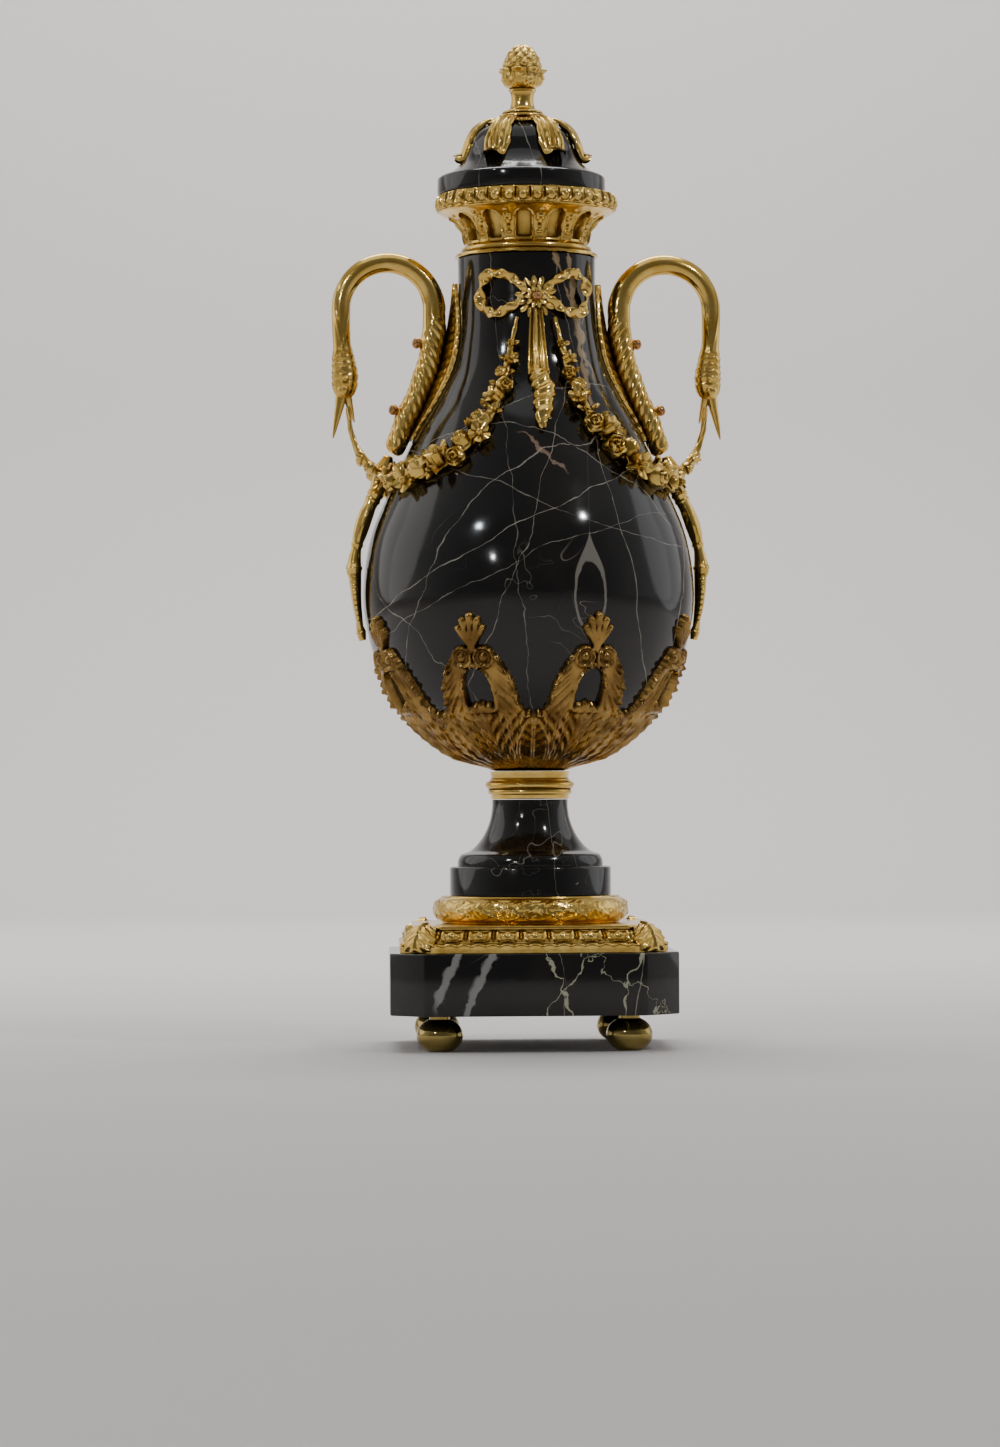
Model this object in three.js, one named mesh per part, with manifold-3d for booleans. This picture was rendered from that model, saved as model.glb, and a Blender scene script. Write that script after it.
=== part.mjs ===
// Covered mantel urn: a black marble vase on a square plinth, with gilt bronze mounts.
// Millimetres, +Z up. The origin is at the middle of the base, level with the undersides of
// the four feet, and the front of the urn faces -Y.

import * as THREE from 'three';
import { mergeVertices } from 'three/addons/utils/BufferGeometryUtils.js';
import Module from 'manifold-3d';

const wasm = await Module();
wasm.setup();

// ---------------------------------------------------------------- driving dimensions

const gap = 0.3;                 // clearance between pieces that touch
const mountTurn = 5;             // degrees: the vase's mounts stand a little off square to the plinth

const footRadius = 14.3, footBallHeight = 20, footSpread = 59;
const plinthBottom = 22.8, plinthTop = 61.3, plinthWidth = 179.5, plinthCant = 21.3;
const baseBottom = plinthTop + gap, baseTop = 78.2, baseWidth = 166.6, baseCant = 21.6;
const laurelBottom = baseTop + gap, laurelTop = 95.4, laurelRadius = 62.1, laurelBore = 42;
const socleBottom = laurelTop + gap, socleTop = 156.2;
const collarBottom = socleTop + gap, collarTop = 174.1;
const bodyBottom = collarTop + gap, mouthHeight = 499.8, neckBore = 34;
const galleryBottom = mouthHeight + gap, galleryTop = 540, galleryRadius = 57.8;
const periods = 13;              // flutes round the gallery
const lidBottom = galleryTop + gap, lidRadius = 53.4, lidSlide = 3;
const capBottom = 587, finialSlide = 1.9;
const lobes = 8;                 // cartouches round the calyx
const calyxBottom = 176, calyxTop = 273, calyxWall = 2, calyxOff = 1.5;

const handleArch = { r: 88.9, z: 467.3, radius: 29.6 };

// The vase's outer outline from its foot to the mouth, as [radius, height].
const bodyOutline = [
  [22, bodyBottom], [53.5, 189], [80, 212], [93.8, 235], [102.4, 263], [105.1, 290], [100.3, 322],
  [88.4, 352], [69.6, 392], [58.8, 412], [50, 432], [45.2, 455], [43.7, 480], [43.7, 498.6],
];

// Its hollow, from the neck's bore down to the floor.
const hollowOutline = [
  [33.6, 480], [36, 450], [43, 422], [60, 390], [79, 352], [91, 322], [95.5, 290], [93, 263],
  [84, 238], [70, 218], [45, 199], [14, 188],
];

// ---------------------------------------------------------------- materials

const finish = (name, colour, roughness, metalness) =>
  new THREE.MeshStandardMaterial({ name, color: colour, roughness, metalness });
const marble = finish('black_marble', 0x24221f, 0.12, 0);
const gilt = finish('gilt_bronze', 0xb8923c, 0.28, 1);
const darkGilt = finish('toned_gilt_bronze', 0x7a5a24, 0.38, 1);
const footGilt = finish('polished_brass', 0x8a7838, 0.18, 1);
const copper = finish('copper', 0x7b4a30, 0.3, 1);

const urn = new THREE.Group();

// ---------------------------------------------------------------- helpers

const radians = THREE.MathUtils.degToRad;
const v2 = (pair) => new THREE.Vector2(...pair);
const v3 = (x, y, z) => new THREE.Vector3(x, y, z);
const mix = THREE.MathUtils.lerp;

// A point at a radius, an angle from the front (towards +X) and a height.
const around = (radius, degrees, z) =>
  v3(radius * Math.sin(radians(degrees)), -radius * Math.cos(radians(degrees)), z);

// Turns the faces of a closed mesh outwards, by the sign of its volume.
function facingOut(geometry) {
  const position = geometry.attributes.position;
  const index = geometry.index.array;
  const [a, b, c] = [v3(), v3(), v3()];
  let volume = 0;
  for (let i = 0; i < index.length; i += 3) {
    a.fromBufferAttribute(position, index[i]);
    b.fromBufferAttribute(position, index[i + 1]);
    c.fromBufferAttribute(position, index[i + 2]);
    volume += a.dot(b.cross(c));
  }
  if (volume < 0) {
    for (let i = 0; i < index.length; i += 3) {
      [index[i + 1], index[i + 2]] = [index[i + 2], index[i + 1]];
    }
  }
  return geometry;
}

// Keeps only positions and joins the vertices that faces share.
function welded(geometry) {
  geometry.deleteAttribute('normal');
  geometry.deleteAttribute('uv');
  return facingOut(mergeVertices(geometry, 1e-4));
}

function solidOf(geometry) {
  const clean = welded(geometry);
  return new wasm.Manifold(new wasm.Mesh({
    numProp: 3,
    vertProperties: new Float32Array(clean.attributes.position.array),
    triVerts: new Uint32Array(clean.index.array),
  }));
}

function geometryOf(solid) {
  const mesh = solid.getMesh();
  const geometry = new THREE.BufferGeometry();
  geometry.setAttribute('position', new THREE.BufferAttribute(mesh.vertProperties, 3));
  geometry.setIndex(new THREE.BufferAttribute(mesh.triVerts, 1));
  return geometry;
}

// One casting from several shapes that run into each other.
const cast = (geometries) => geometryOf(geometries.map(solidOf).reduce((all, next) => all.add(next)));

function piece(name, geometry, material, parent = urn) {
  const mesh = new THREE.Mesh(geometry, material);
  mesh.name = name;
  parent.add(mesh);
  return mesh;
}

// A turned solid about the Z axis, from an outline of [radius, height] pairs.
function turned(outline, segments) {
  return welded(new THREE.LatheGeometry(outline.map(v2), segments).rotateX(Math.PI / 2));
}

// A smooth outline through a few stations.
const smooth = (stations, steps) =>
  new THREE.SplineCurve(stations.map(v2)).getSpacedPoints(steps).map((p) => [p.x, p.y]);

// The vase's outer radius at a height.
const outlineFine = smooth(bodyOutline, 200);
function bodyRadius(z) {
  const above = Math.max(1, outlineFine.findIndex(([, height]) => height >= z));
  const [[r0, z0], [r1, z1]] = [outlineFine[above - 1], outlineFine[above]];
  return mix(r0, r1, THREE.MathUtils.clamp((z - z0) / (z1 - z0), 0, 1));
}

// A closed skin over rings of equal count; the first and last ring are closed flat,
// or joined to each other when the rings run round a loop.
function loft(rings, loop = false) {
  const count = rings[0].length;
  const points = rings.flat();
  const faces = [];
  const last = loop ? rings.length : rings.length - 1;
  for (let i = 0; i < last; i++) {
    const here = i * count, next = ((i + 1) % rings.length) * count;
    for (let j = 0; j < count; j++) {
      const k = (j + 1) % count;
      faces.push(here + j, here + k, next + k, here + j, next + k, next + j);
    }
  }
  if (!loop) {
    for (let j = 1; j < count - 1; j++) {
      const end = (rings.length - 1) * count;
      faces.push(0, j + 1, j, end, end + j, end + j + 1);
    }
  }
  const geometry = new THREE.BufferGeometry().setFromPoints(points);
  geometry.setIndex(faces);
  return welded(geometry);
}

// A section carried along a curve. section(s) gives [across, out] offsets, and guide(point)
// the direction that counts as out.
function sweep(curve, steps, section, guide, loop = false) {
  const rings = [];
  for (let i = 0; i < steps + (loop ? 0 : 1); i++) {
    const s = i / steps;
    const centre = curve.getPointAt(s), tangent = curve.getTangentAt(s);
    const across = v3().crossVectors(tangent, guide(centre)).normalize();
    const out = v3().crossVectors(across, tangent).normalize();
    rings.push(section(s).map(([a, o]) => centre.clone().addScaledVector(across, a).addScaledVector(out, o)));
  }
  return loft(rings, loop);
}

// An ellipse of [across, out] offsets.
function oval(sides, across, out) {
  return Array.from({ length: sides }, (_, i) => {
    const t = (i / sides) * 2 * Math.PI;
    return [across * Math.cos(t), out * Math.sin(t)];
  });
}

const ball = (radius, at, wide = 6, high = 4) =>
  new THREE.SphereGeometry(radius, wide, high).rotateX(Math.PI / 2).translate(at.x, at.y, at.z);

const outward = (point) => v3(point.x, point.y, 0).normalize();

// Out from the vase's sloping skin.
function skinNormal(point) {
  const reach = 2;
  const slope = (bodyRadius(point.z + reach) - bodyRadius(point.z - reach)) / (2 * reach);
  return outward(point).setZ(-slope).normalize();
}

// Values between named stations, for radii along a limb.
function along(stations, s) {
  const upper = Math.max(1, stations.findIndex(([at]) => at >= s));
  const [[s0, a], [s1, b]] = [stations[upper - 1], stations[upper]];
  return mix(a, b, (s - s0) / (s1 - s0));
}

// ---------------------------------------------------------------- feet

function bunFoot() {
  const centre = footBallHeight / 2, flat = 6, neck = 6.5, bulge = 1.04;
  const outline = [[0, 0], [flat, 0]];
  for (const t of [-0.9, -0.3, 0.3, 0.9]) {
    outline.push([footRadius * bulge * Math.cos(t), centre + centre * Math.sin(t)]);
  }
  outline.push([neck, footBallHeight], [neck, plinthBottom - gap], [0, plinthBottom - gap]);
  return turned(outline, 8);
}

const corners = [['front_left', -1, -1], ['front_right', 1, -1], ['back_left', -1, 1], ['back_right', 1, 1]];
for (const [place, x, y] of corners) {
  piece(`foot_${place}`, bunFoot(), footGilt).position.set(x * footSpread, y * footSpread, 0);
}

// ---------------------------------------------------------------- plinth and base mount

// A square with its corners cut at 45 degrees, as plan points.
function cantedSquare(width, cant) {
  const h = width / 2, s = h - cant;
  return [[-s, -h], [s, -h], [h, -s], [h, s], [s, h], [-s, h], [-h, s], [-h, -s]];
}

function plinthBlock() {
  const arris = 0.8;
  const shape = new THREE.Shape(cantedSquare(plinthWidth - 2 * arris, plinthCant).map(v2));
  const block = new THREE.ExtrudeGeometry(shape, {
    depth: plinthTop - plinthBottom - 2 * arris, bevelEnabled: true,
    bevelThickness: arris, bevelSize: arris, bevelSegments: 1,
  });
  return welded(block.translate(0, 0, plinthBottom + arris));
}
piece('plinth', plinthBlock(), marble);

// The square mount: a moulded rim over a rounded band, clasped by a leaf at each corner.
function baseMount() {
  const half = baseWidth / 2;
  const profile = [
    [half, baseBottom], [half, 65], [half - 3.4, 67], [half - 3.8, 70],
    [half - 8.6, 75], [half - 8.6, baseTop],
  ];
  const rings = profile.map(([h, z]) => cantedSquare(2 * h, baseCant).map(([x, y]) => v3(x, y, z)));
  const shapes = [loft(rings)];
  // Each leaf is folded along its middle: [reach past the cut corner, half its width, height].
  const clasp = [[-6.5, 8.5, 77.6], [-1.6, 11.5, 74], [2, 13.6, 68], [1.4, 13.4, baseBottom]];
  const corner = (half - baseCant / 2) * Math.SQRT2, rooted = 9, fold = 2;
  const leaf = loft(clasp.map(([out, wide, z]) => [
    v3(-wide, rooted - corner, z), v3(-wide, fold - corner - out, z), v3(0, -corner - out, z),
    v3(wide, fold - corner - out, z), v3(wide, rooted - corner, z),
  ]));
  for (let side = 0; side < 4; side++) {
    shapes.push(leaf.clone().rotateZ(Math.PI / 4 + (side * Math.PI) / 2));
  }
  return cast(shapes);
}
piece('base_mount', baseMount(), gilt);

// ---------------------------------------------------------------- laurel ring

// A half-round ring whose outside is broken into leaning leaves.
function laurelRing() {
  const columns = 24, middle = (laurelBottom + laurelTop) / 2, halfHigh = (laurelTop - laurelBottom) / 2;
  const roll = 5, core = laurelRadius - roll, valley = 1.4, lean = 4;
  const rings = [];
  for (let i = 0; i < columns; i++) {
    const sunk = i % 2 ? 0 : valley;
    const ring = [[laurelBore, laurelBottom], [core, laurelBottom]];
    for (const t of [-0.6, 0, 0.6]) {
      const round = roll * Math.sqrt(1 - t * t);
      ring.push([core + round - sunk * (1 - Math.abs(t)), middle + halfHigh * t]);
    }
    ring.push([core, laurelTop], [laurelBore, laurelTop]);
    rings.push(ring.map(([r, z]) => around(r, (i * 360) / columns + lean * ((z - middle) / halfHigh), z)));
  }
  return loft(rings, true);
}
piece('laurel_ring', laurelRing(), gilt);

// ---------------------------------------------------------------- socle and collar

piece('socle', turned([
  [0, socleBottom], [51.2, socleBottom], [51.2, 113], [50.4, 113.8], [46, 114.2], [44.2, 121.6],
  [40, 123.2], [33.7, 128], [29.4, 133.8], [25.8, 142], [24.1, 152], [24.1, socleTop], [0, socleTop],
], 18), marble);

piece('collar', turned([
  [0, collarBottom], [24.8, collarBottom], [24.8, 159.4], [26.4, 160], [26.6, 162.8],
  [28.4, 165.5], [26.6, 168.4], [25.1, 169], [25.1, collarTop], [0, collarTop],
], 14), gilt);

// ---------------------------------------------------------------- vase body

const bodyProfile = [
  [0, bodyBottom], ...smooth(bodyOutline, 12), [43.7, mouthHeight],
  [neckBore, mouthHeight], ...smooth(hollowOutline, 5), [0, 186.5],
];
piece('body', turned(bodyProfile, 20), marble);

// ---------------------------------------------------------------- calyx

// The cup that holds the belly: a thin shell on rows of heights. Each lobe has five edges across,
// [outer edge, arch side, middle, arch side, outer edge], at angles that change from row to row,
// and the two middle cells of the arch rows are left open.
function calyxCup() {
  const lobeAngle = 360 / lobes, half = lobeAngle / 2;
  // Height, half the lobe's angle, half the arch's angle.
  const rows = [[calyxBottom, half, 11], [183, half, 11], [194, half, 10], [209.5, half, 8], [214.5, 17.8, 4.8],
    [229, 15, 4.8], [236.6, 12, 2.8], [245, 8.6, 3], [253, 5.2, 2.4], [265, 5.9, 3], [calyxTop, 1.8, 0.8]];
  const archRows = [4, 5];
  const points = [], faces = [];
  for (let lobe = 0; lobe < lobes; lobe++) {
    for (const [z, edge, arch] of rows) {
      for (const angle of [-edge, -arch, 0, arch, edge]) {
        for (const off of [calyxOff, calyxOff + calyxWall]) {
          points.push(around(bodyRadius(z) + off, (lobe + 0.5) * lobeAngle + angle, z));
        }
      }
    }
  }
  const at = (lobe, row, edge, outside) => ((lobe * rows.length + row) * 5 + edge) * 2 + outside;
  const quad = (a, b, c, d) => faces.push(a, b, c, a, c, d);
  const filled = (row, cell) => row >= 0 && row < rows.length - 1
    && !(archRows.includes(row) && (cell === 1 || cell === 2))
    && (cell >= 0 && cell < 4 || (rows[row][1] === half && rows[row + 1][1] === half));
  for (let lobe = 0; lobe < lobes; lobe++) {
    for (let row = 0; row < rows.length - 1; row++) {
      for (let cell = 0; cell < 4; cell++) {
        if (!filled(row, cell)) continue;
        const corner = (up, right) => [0, 1].map((outside) => at(lobe, row + up, cell + right, outside));
        const [a, b, c, d] = [corner(0, 0), corner(0, 1), corner(1, 1), corner(1, 0)];
        quad(a[1], b[1], c[1], d[1]);
        quad(a[0], d[0], c[0], b[0]);
        if (!filled(row - 1, cell)) quad(a[0], b[0], b[1], a[1]);
        if (!filled(row + 1, cell)) quad(d[1], c[1], c[0], d[0]);
        if (!filled(row, cell - 1)) quad(a[0], a[1], d[1], d[0]);
        if (!filled(row, cell + 1)) quad(b[1], b[0], c[0], c[1]);
      }
    }
  }
  const geometry = new THREE.BufferGeometry().setFromPoints(points);
  geometry.setIndex(faces);
  return welded(geometry);
}
piece('calyx', calyxCup(), darkGilt);

// ---------------------------------------------------------------- gallery

// A flared rim over the mouth: eggs round its edge, and arched flutes in its hollow side.
function galleryRim() {
  const side = [[38.4, 508.6], [41, 518.4], [51.5, 527.2]];
  const outer = [
    [45.3, galleryBottom], [45.3, 502.3], [40.9, 503], ...side,
    [galleryRadius - 2.4, 529.8], [galleryRadius, 533], [galleryRadius - 0.4, 537.8], [55.4, galleryTop],
  ];
  const inner = [[48, galleryTop], [46.4, 532], [36.2, 517], [35.6, galleryBottom]];
  let rim = solidOf(turned([...outer, ...inner, outer[0]], periods * 2));

  const fluteDepth = 2.4, cutOut = 9;
  const flute = loft([[509.4, 3.6], [518.4, 4.3], [525.2, 2.8]].map(([z, half]) => {
    const r = along(side.map(([radius, height]) => [height, radius]), z);
    const floor = [-(r - fluteDepth), z + fluteDepth / 3], mouth = [-(r + cutOut), z - cutOut / 3];
    return [v3(-half, ...floor), v3(half, ...floor), v3(half, ...mouth), v3(-half, ...mouth)];
  }));
  for (let i = 0; i < periods; i++) {
    rim = rim.subtract(solidOf(flute.clone().rotateZ(((i + 0.5) * 2 * Math.PI) / periods)));
  }
  return geometryOf(rim);
}
const gallery = piece('gallery', galleryRim(), gilt);
gallery.rotation.z = radians(3);

// ---------------------------------------------------------------- lid, leaf cap and finial

const lidStations = [
  [47.6, 553.1], [42.8, 556.6], [38.4, 560.6], [35.5, 565.4], [31.8, 575], [27.5, 581], [20, 585.4],
];
const lid = piece('lid', turned([
  [0, 586.4], [10, 586.4], ...smooth(lidStations, 5).reverse(), [51.8, 552.2],
  [lidRadius, 551], [lidRadius, lidBottom], [42.6, lidBottom], [42, 534.5], [34, 534.5],
  [29, 558], [0, 575],
], 18), marble);
lid.position.x = -lidSlide;

const crown = new THREE.Group();
crown.position.x = -finialSlide;
urn.add(crown);

// Six acanthus leaves fall from a small disc over the shoulder of the lid.
function leafCap() {
  const shapes = [turned([[0, capBottom], [17.4, capBottom], [15.6, 589.4], [0, 589.4]], 12)];
  const spine = new THREE.CatmullRomCurve3([
    v3(0, -12, 588.2), v3(0, -21.4, 587.2), v3(0, -30, 582), v3(0, -35, 574),
    v3(0, -36.8, 567.5), v3(0, -39.4, 563.6),
  ]);
  const halfWidths = [[0, 4], [0.25, 5.6], [0.45, 8.2], [0.7, 7.8], [0.88, 4.6], [1, 1]];
  for (let i = 0; i < 6; i++) {
    const leaf = sweep(spine, 4, (s) => {
      const w = along(halfWidths, s);
      return [[-w, -0.9], [w, -0.9], [0, 1.3]];
    }, () => v3(0, -0.3, 1));
    shapes.push(leaf.rotateZ(((i + 0.5) * Math.PI) / 3));
  }
  return cast(shapes);
}
piece('leaf_cap', leafCap(), gilt, crown);

piece('finial', turned([
  [0, 589.7], [15.9, 589.7], [15.4, 591.4], [12.7, 591.6], [12.7, 593.6], [9.2, 594.6], [6.9, 600.4],
  [8.3, 607], [8.2, 608.4], [12.2, 612], [13, 619.8], [11.8, 621.4], [10.8, 627.5], [7.4, 633.4], [0, 637.1],
], 10), gilt, crown);

// ---------------------------------------------------------------- swan handles

// Each handle lies in the XZ plane, and X is the distance from the vase's axis.
const flat = (pairs) => pairs.map(([r, z]) => v3(r, 0, z));
const sideways = () => v3(0, 1, 0);

// The swan rises from a feathered limb, arches over and bends its head to the garland.
function swan() {
  const { r, z, radius } = handleArch;
  const arch = [];
  for (let i = 0; i <= 8; i++) {
    const t = Math.PI * (1 - i / 8);
    arch.push([r + radius * Math.cos(t), z + radius * Math.sin(t)]);
  }
  const route = new THREE.CatmullRomCurve3(flat([
    [86.8, 376.6], [83.8, 381.6], [77, 398.4], [69, 415.3], [63, 432.4], [59.8, 450], ...arch,
    [118.3, 452], [117.4, 438], [116.2, 424], [117, 412],
  ]));
  const thickness = [[0, 6.2], [0.1, 6.8], [0.3, 7], [0.42, 7], [0.5, 6.4], [0.62, 6.1], [0.78, 5.6],
    [0.86, 5.4], [0.9, 7], [0.94, 9], [0.975, 8.4], [1, 5]];
  const shapes = [sweep(route, 20, (s) => oval(6, along(thickness, s), along(thickness, s)), sideways)];
  const upperBill = new THREE.LineCurve3(v3(118.4, 0, 414), v3(124, 0, 385));
  const lowerBill = new THREE.LineCurve3(v3(114, 0, 414), v3(110.4, 0, 396));
  for (const bill of [upperBill, lowerBill]) {
    shapes.push(sweep(bill, 1, (s) => oval(5, mix(4.2, 0.6, s), mix(3.6, 0.6, s)), sideways));
  }
  for (const side of [-1, 1]) {
    shapes.push(ball(4.4, v3(117.6, side * 4.4, 415.8)));
  }
  return shapes;
}

// The keeled leaf between the limb and the marble, as [height, half width] stations and the
// reach of its keel at each height.
function wingLeaf() {
  const stations = [[484, 0.4], [474, 4.6], [458, 10.6], [440, 14], [420, 15.5], [400, 13.5], [385, 7]];
  const keel = [[376, 83], [392, 73], [412, 63.5], [432, 55], [450, 51], [470, 48.6], [486, 47.6]];
  const clear = 1.6, thick = 1.6;
  return loft(stations.map(([z, half]) => {
    const skin = bodyRadius(z) + clear, top = Math.max(along(keel, z), skin + thick);
    const edge = Math.sqrt(skin ** 2 - half ** 2);
    return [v3(edge, -half, z), v3(skin, 0, z), v3(edge, half, z),
      v3(edge + thick, half, z), v3(top, 0, z), v3(edge + thick, -half, z)];
  }));
}

// The leaf that runs down the belly from the foot of the handle to a small knob.
function tailLeaf() {
  const route = new THREE.CatmullRomCurve3(flat([
    [88.8, 374], [91.6, 366], [97, 350.8], [103, 337.8], [107.6, 324], [110.4, 310.5], [111.2, 299],
    [110.4, 283], [108.6, 271], [106.9, 262.8], [105.9, 257.6],
  ]));
  const halfWidths = [[0, 5], [0.1, 6.4], [0.2, 4.4], [0.45, 4], [0.6, 5.6], [0.7, 5.8], [0.88, 3], [0.93, 2.6],
    [0.94, 3.6], [1, 3.4]];
  const thickness = [[0, 4.6], [0.2, 4], [0.6, 3.6], [0.9, 2.4], [1, 2.6]];
  return sweep(route, 10, (s) => oval(5, along(thickness, s), along(halfWidths, s)), sideways);
}

// The ball head of a screw through the limb, flattened where it seats and facing out at an angle.
function screw(at, degrees) {
  const seat = 7.4, headRadius = 3.7;
  const head = turned([
    [0, seat], [2.4, seat], [headRadius, seat + 2.1], [2.6, seat + 4.7], [0, seat + 5.7],
  ], 7);
  return head.rotateY(radians(90 - degrees)).translate(at.x, at.y, at.z);
}

const mounts = new THREE.Group();
mounts.rotation.z = radians(mountTurn);
urn.add(mounts);

for (const [place, turn] of [['right', 0], ['left', Math.PI]]) {
  const side = new THREE.Group();
  side.rotation.z = turn;
  mounts.add(side);
  piece(`swan_handle_${place}`, cast([...swan(), wingLeaf()]), gilt, side);
  piece(`tail_leaf_${place}`, tailLeaf(), gilt, side);
  piece(`handle_screw_${place}_upper`, screw(v3(60.6, 0, 444), 12), copper, side);
  piece(`handle_screw_${place}_lower`, screw(v3(76.2, 0, 400), 22), copper, side);
}

// ---------------------------------------------------------------- bows and garlands

const knot = 470.8;              // height of the rosette's middle

// A point standing off the marble, at an angle from the middle of the bow.
const onBody = (degrees, z, off) => around(bodyRadius(z) + off, degrees, z);
const ribbon = (across, thick) => () =>
  [[-across, -thick], [across, -thick], [across, thick], [-across, thick]];

// A ribbon tied in two loops under a rosette, with one fluted end that twists to a point.
function bow() {
  const shapes = [];
  const points = 8, pointed = 0.8, rosette = [];
  for (const [radius, depth] of [[11.5, 47], [13.2, 48.4], [8, 51], [4.4, 50.4], [3.2, 52.6]]) {
    rosette.push(Array.from({ length: points }, (_, i) => {
      const t = (i / points) * 2 * Math.PI, reach = radius * (i % 2 ? pointed : 1);
      return v3(reach * Math.cos(t), -depth, knot + reach * Math.sin(t));
    }));
  }
  shapes.push(loft(rosette));
  const loopMiddle = 27.5, loopReach = 19, loopHigh = 12.5, taper = 0.35, rise = 3, standOff = 3.6;
  for (const side of [-1, 1]) {
    const loop = Array.from({ length: 9 }, (_, i) => {
      const t = (i / 9) * 2 * Math.PI;
      const z = knot + rise + loopHigh * Math.sin(t) * (1 - taper * Math.cos(t));
      return onBody(side * (loopMiddle - loopReach * Math.cos(t)), z, standOff);
    });
    shapes.push(sweep(new THREE.CatmullRomCurve3(loop, true), 8, ribbon(2.6, 2.2), outward, true));
  }
  const hanging = [[466, 3], [452, 3], [430, 3.2], [418, 3.4], [404, 4], [388, 3.4]];
  const end = new THREE.CatmullRomCurve3(hanging.map(([z, off]) => onBody(0, z, off)));
  const widths = [[0, 3], [0.5, 6], [0.56, 4.4], [0.78, 5.6], [0.9, 4], [1, 1.2]];
  shapes.push(sweep(end, 6, (s) => oval(4, along(widths, s), 2.4), outward));
  return cast(shapes);
}

// Flowers and buds strung from the bow, round the shoulder and up to the swan's bill.
function garland(side) {
  // Degrees from the bow and height while it lies on the vase, then clear of it towards the bill.
  const hung = [
    [14, 458], [17.5, 442], [20, 426], [22, 411], [25, 398], [31, 384], [39.5, 371], [51, 362], [66, 358],
  ];
  const free = [[93, 10.4, 359.5], [101, 8, 367.5], [108, 6.4, 377], [112.6, 4.8, 390], [114.4, 3.4, 403]];
  const standOff = 5.6, thickest = 4.4;
  const points = hung.map(([degrees, z]) => onBody(side * degrees, z, standOff));
  points.push(...free.map(([r, off, z]) => v3(side * r, -off, z)));
  const route = new THREE.CatmullRomCurve3(points);
  const steps = 15;
  const swell = [[0, 1.6], [0.08, 3.2], [0.25, 5], [0.38, 7.6], [0.5, 8.8], [0.62, 8.6], [0.72, 6.6], [0.8, 5],
    [0.88, 3.4], [0.92, 1.4], [1, 1.2]];
  return sweep(route, steps, (s) => {
    const knob = Math.round(s * steps) % 2 ? 1 : 0.78;
    return oval(5, along(swell, s) * knob, Math.min(along(swell, s), thickest) * knob);
  }, skinNormal);
}

for (const [place, turn] of [['front', 0], ['back', Math.PI]]) {
  const face = new THREE.Group();
  face.rotation.z = turn;
  mounts.add(face);
  piece(`bow_${place}`, bow(), gilt, face);
  piece(`bow_screw_${place}`, welded(ball(3.4, v3(0, -56.4, knot))), copper, face);
  piece(`garland_${place}_left`, garland(-1), gilt, face);
  piece(`garland_${place}_right`, garland(1), gilt, face);
}

export default urn;
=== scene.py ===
# %% [markdown]
# # A covered marble urn with gilt bronze mounts
# The vase, lid, socle and plinth are turned and cut from black marble with cream veins. Every
# mount is a gilt casting made apart and pinned on: a rim of eggs, swan handles, bows with flower
# garlands, an openwork cup and moulded bands. The pieces could be sculpted by hand. Each is instead
# a surface worked out with numpy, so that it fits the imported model's frame and can be changed by a
# number. Lengths are in millimetres, and those of the materials and the studio in metres.

# %% The frame
import bpy
import numpy as np
from mathutils import Euler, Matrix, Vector


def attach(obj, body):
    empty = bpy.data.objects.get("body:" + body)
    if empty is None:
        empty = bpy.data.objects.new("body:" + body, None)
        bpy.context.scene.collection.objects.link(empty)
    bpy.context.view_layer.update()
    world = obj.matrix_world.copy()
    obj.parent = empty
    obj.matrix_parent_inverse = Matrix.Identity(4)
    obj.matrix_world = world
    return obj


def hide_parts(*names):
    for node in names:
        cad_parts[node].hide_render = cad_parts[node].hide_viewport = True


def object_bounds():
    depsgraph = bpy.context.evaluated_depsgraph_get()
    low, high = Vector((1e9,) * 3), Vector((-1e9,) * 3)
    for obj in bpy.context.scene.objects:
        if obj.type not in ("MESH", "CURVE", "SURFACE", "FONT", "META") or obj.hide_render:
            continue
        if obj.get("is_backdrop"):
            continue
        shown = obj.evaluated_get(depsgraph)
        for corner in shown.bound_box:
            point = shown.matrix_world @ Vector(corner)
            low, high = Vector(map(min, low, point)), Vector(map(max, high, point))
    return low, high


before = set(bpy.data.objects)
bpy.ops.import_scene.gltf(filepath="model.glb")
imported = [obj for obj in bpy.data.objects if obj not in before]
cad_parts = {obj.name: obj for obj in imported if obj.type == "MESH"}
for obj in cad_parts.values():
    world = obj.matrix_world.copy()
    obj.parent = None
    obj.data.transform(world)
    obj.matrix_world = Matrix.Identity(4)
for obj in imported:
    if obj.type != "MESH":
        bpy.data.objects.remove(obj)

cad_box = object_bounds()
print("the packed model has", len(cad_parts), "nodes")

# %% [markdown]
# ## Meshes from arrays
# A surface is a grid of points. Where its rings close on themselves it is a tube, and where its
# ends close it is a solid. Blender's modifiers could make such shapes too. A shape is kept here as
# a pair, its points and its faces, so that small shapes can be copied, moved and joined before
# they become one mesh, and so that every piece is closed and faces outwards.

# %% Grids, ends and joining
MILLIMETRE = 0.001


def circle(count):
    """Angles at equal steps all the way round, as one row."""
    return np.linspace(0, 2 * np.pi, count, endpoint=False)[None, :]


def unit(vectors):
    """Each vector over its own length."""
    return vectors / np.linalg.norm(vectors, axis=-1, keepdims=True)


def running_length(points):
    """How far along a line each of its points lies."""
    return np.concatenate([[0], np.cumsum(np.linalg.norm(np.diff(points, axis=0), axis=1))])


def rings_of(r, z, angle):
    """The points (r cos angle, r sin angle, z)."""
    return np.stack(np.broadcast_arrays(r * np.cos(angle), r * np.sin(angle), z), axis=-1)


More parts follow.
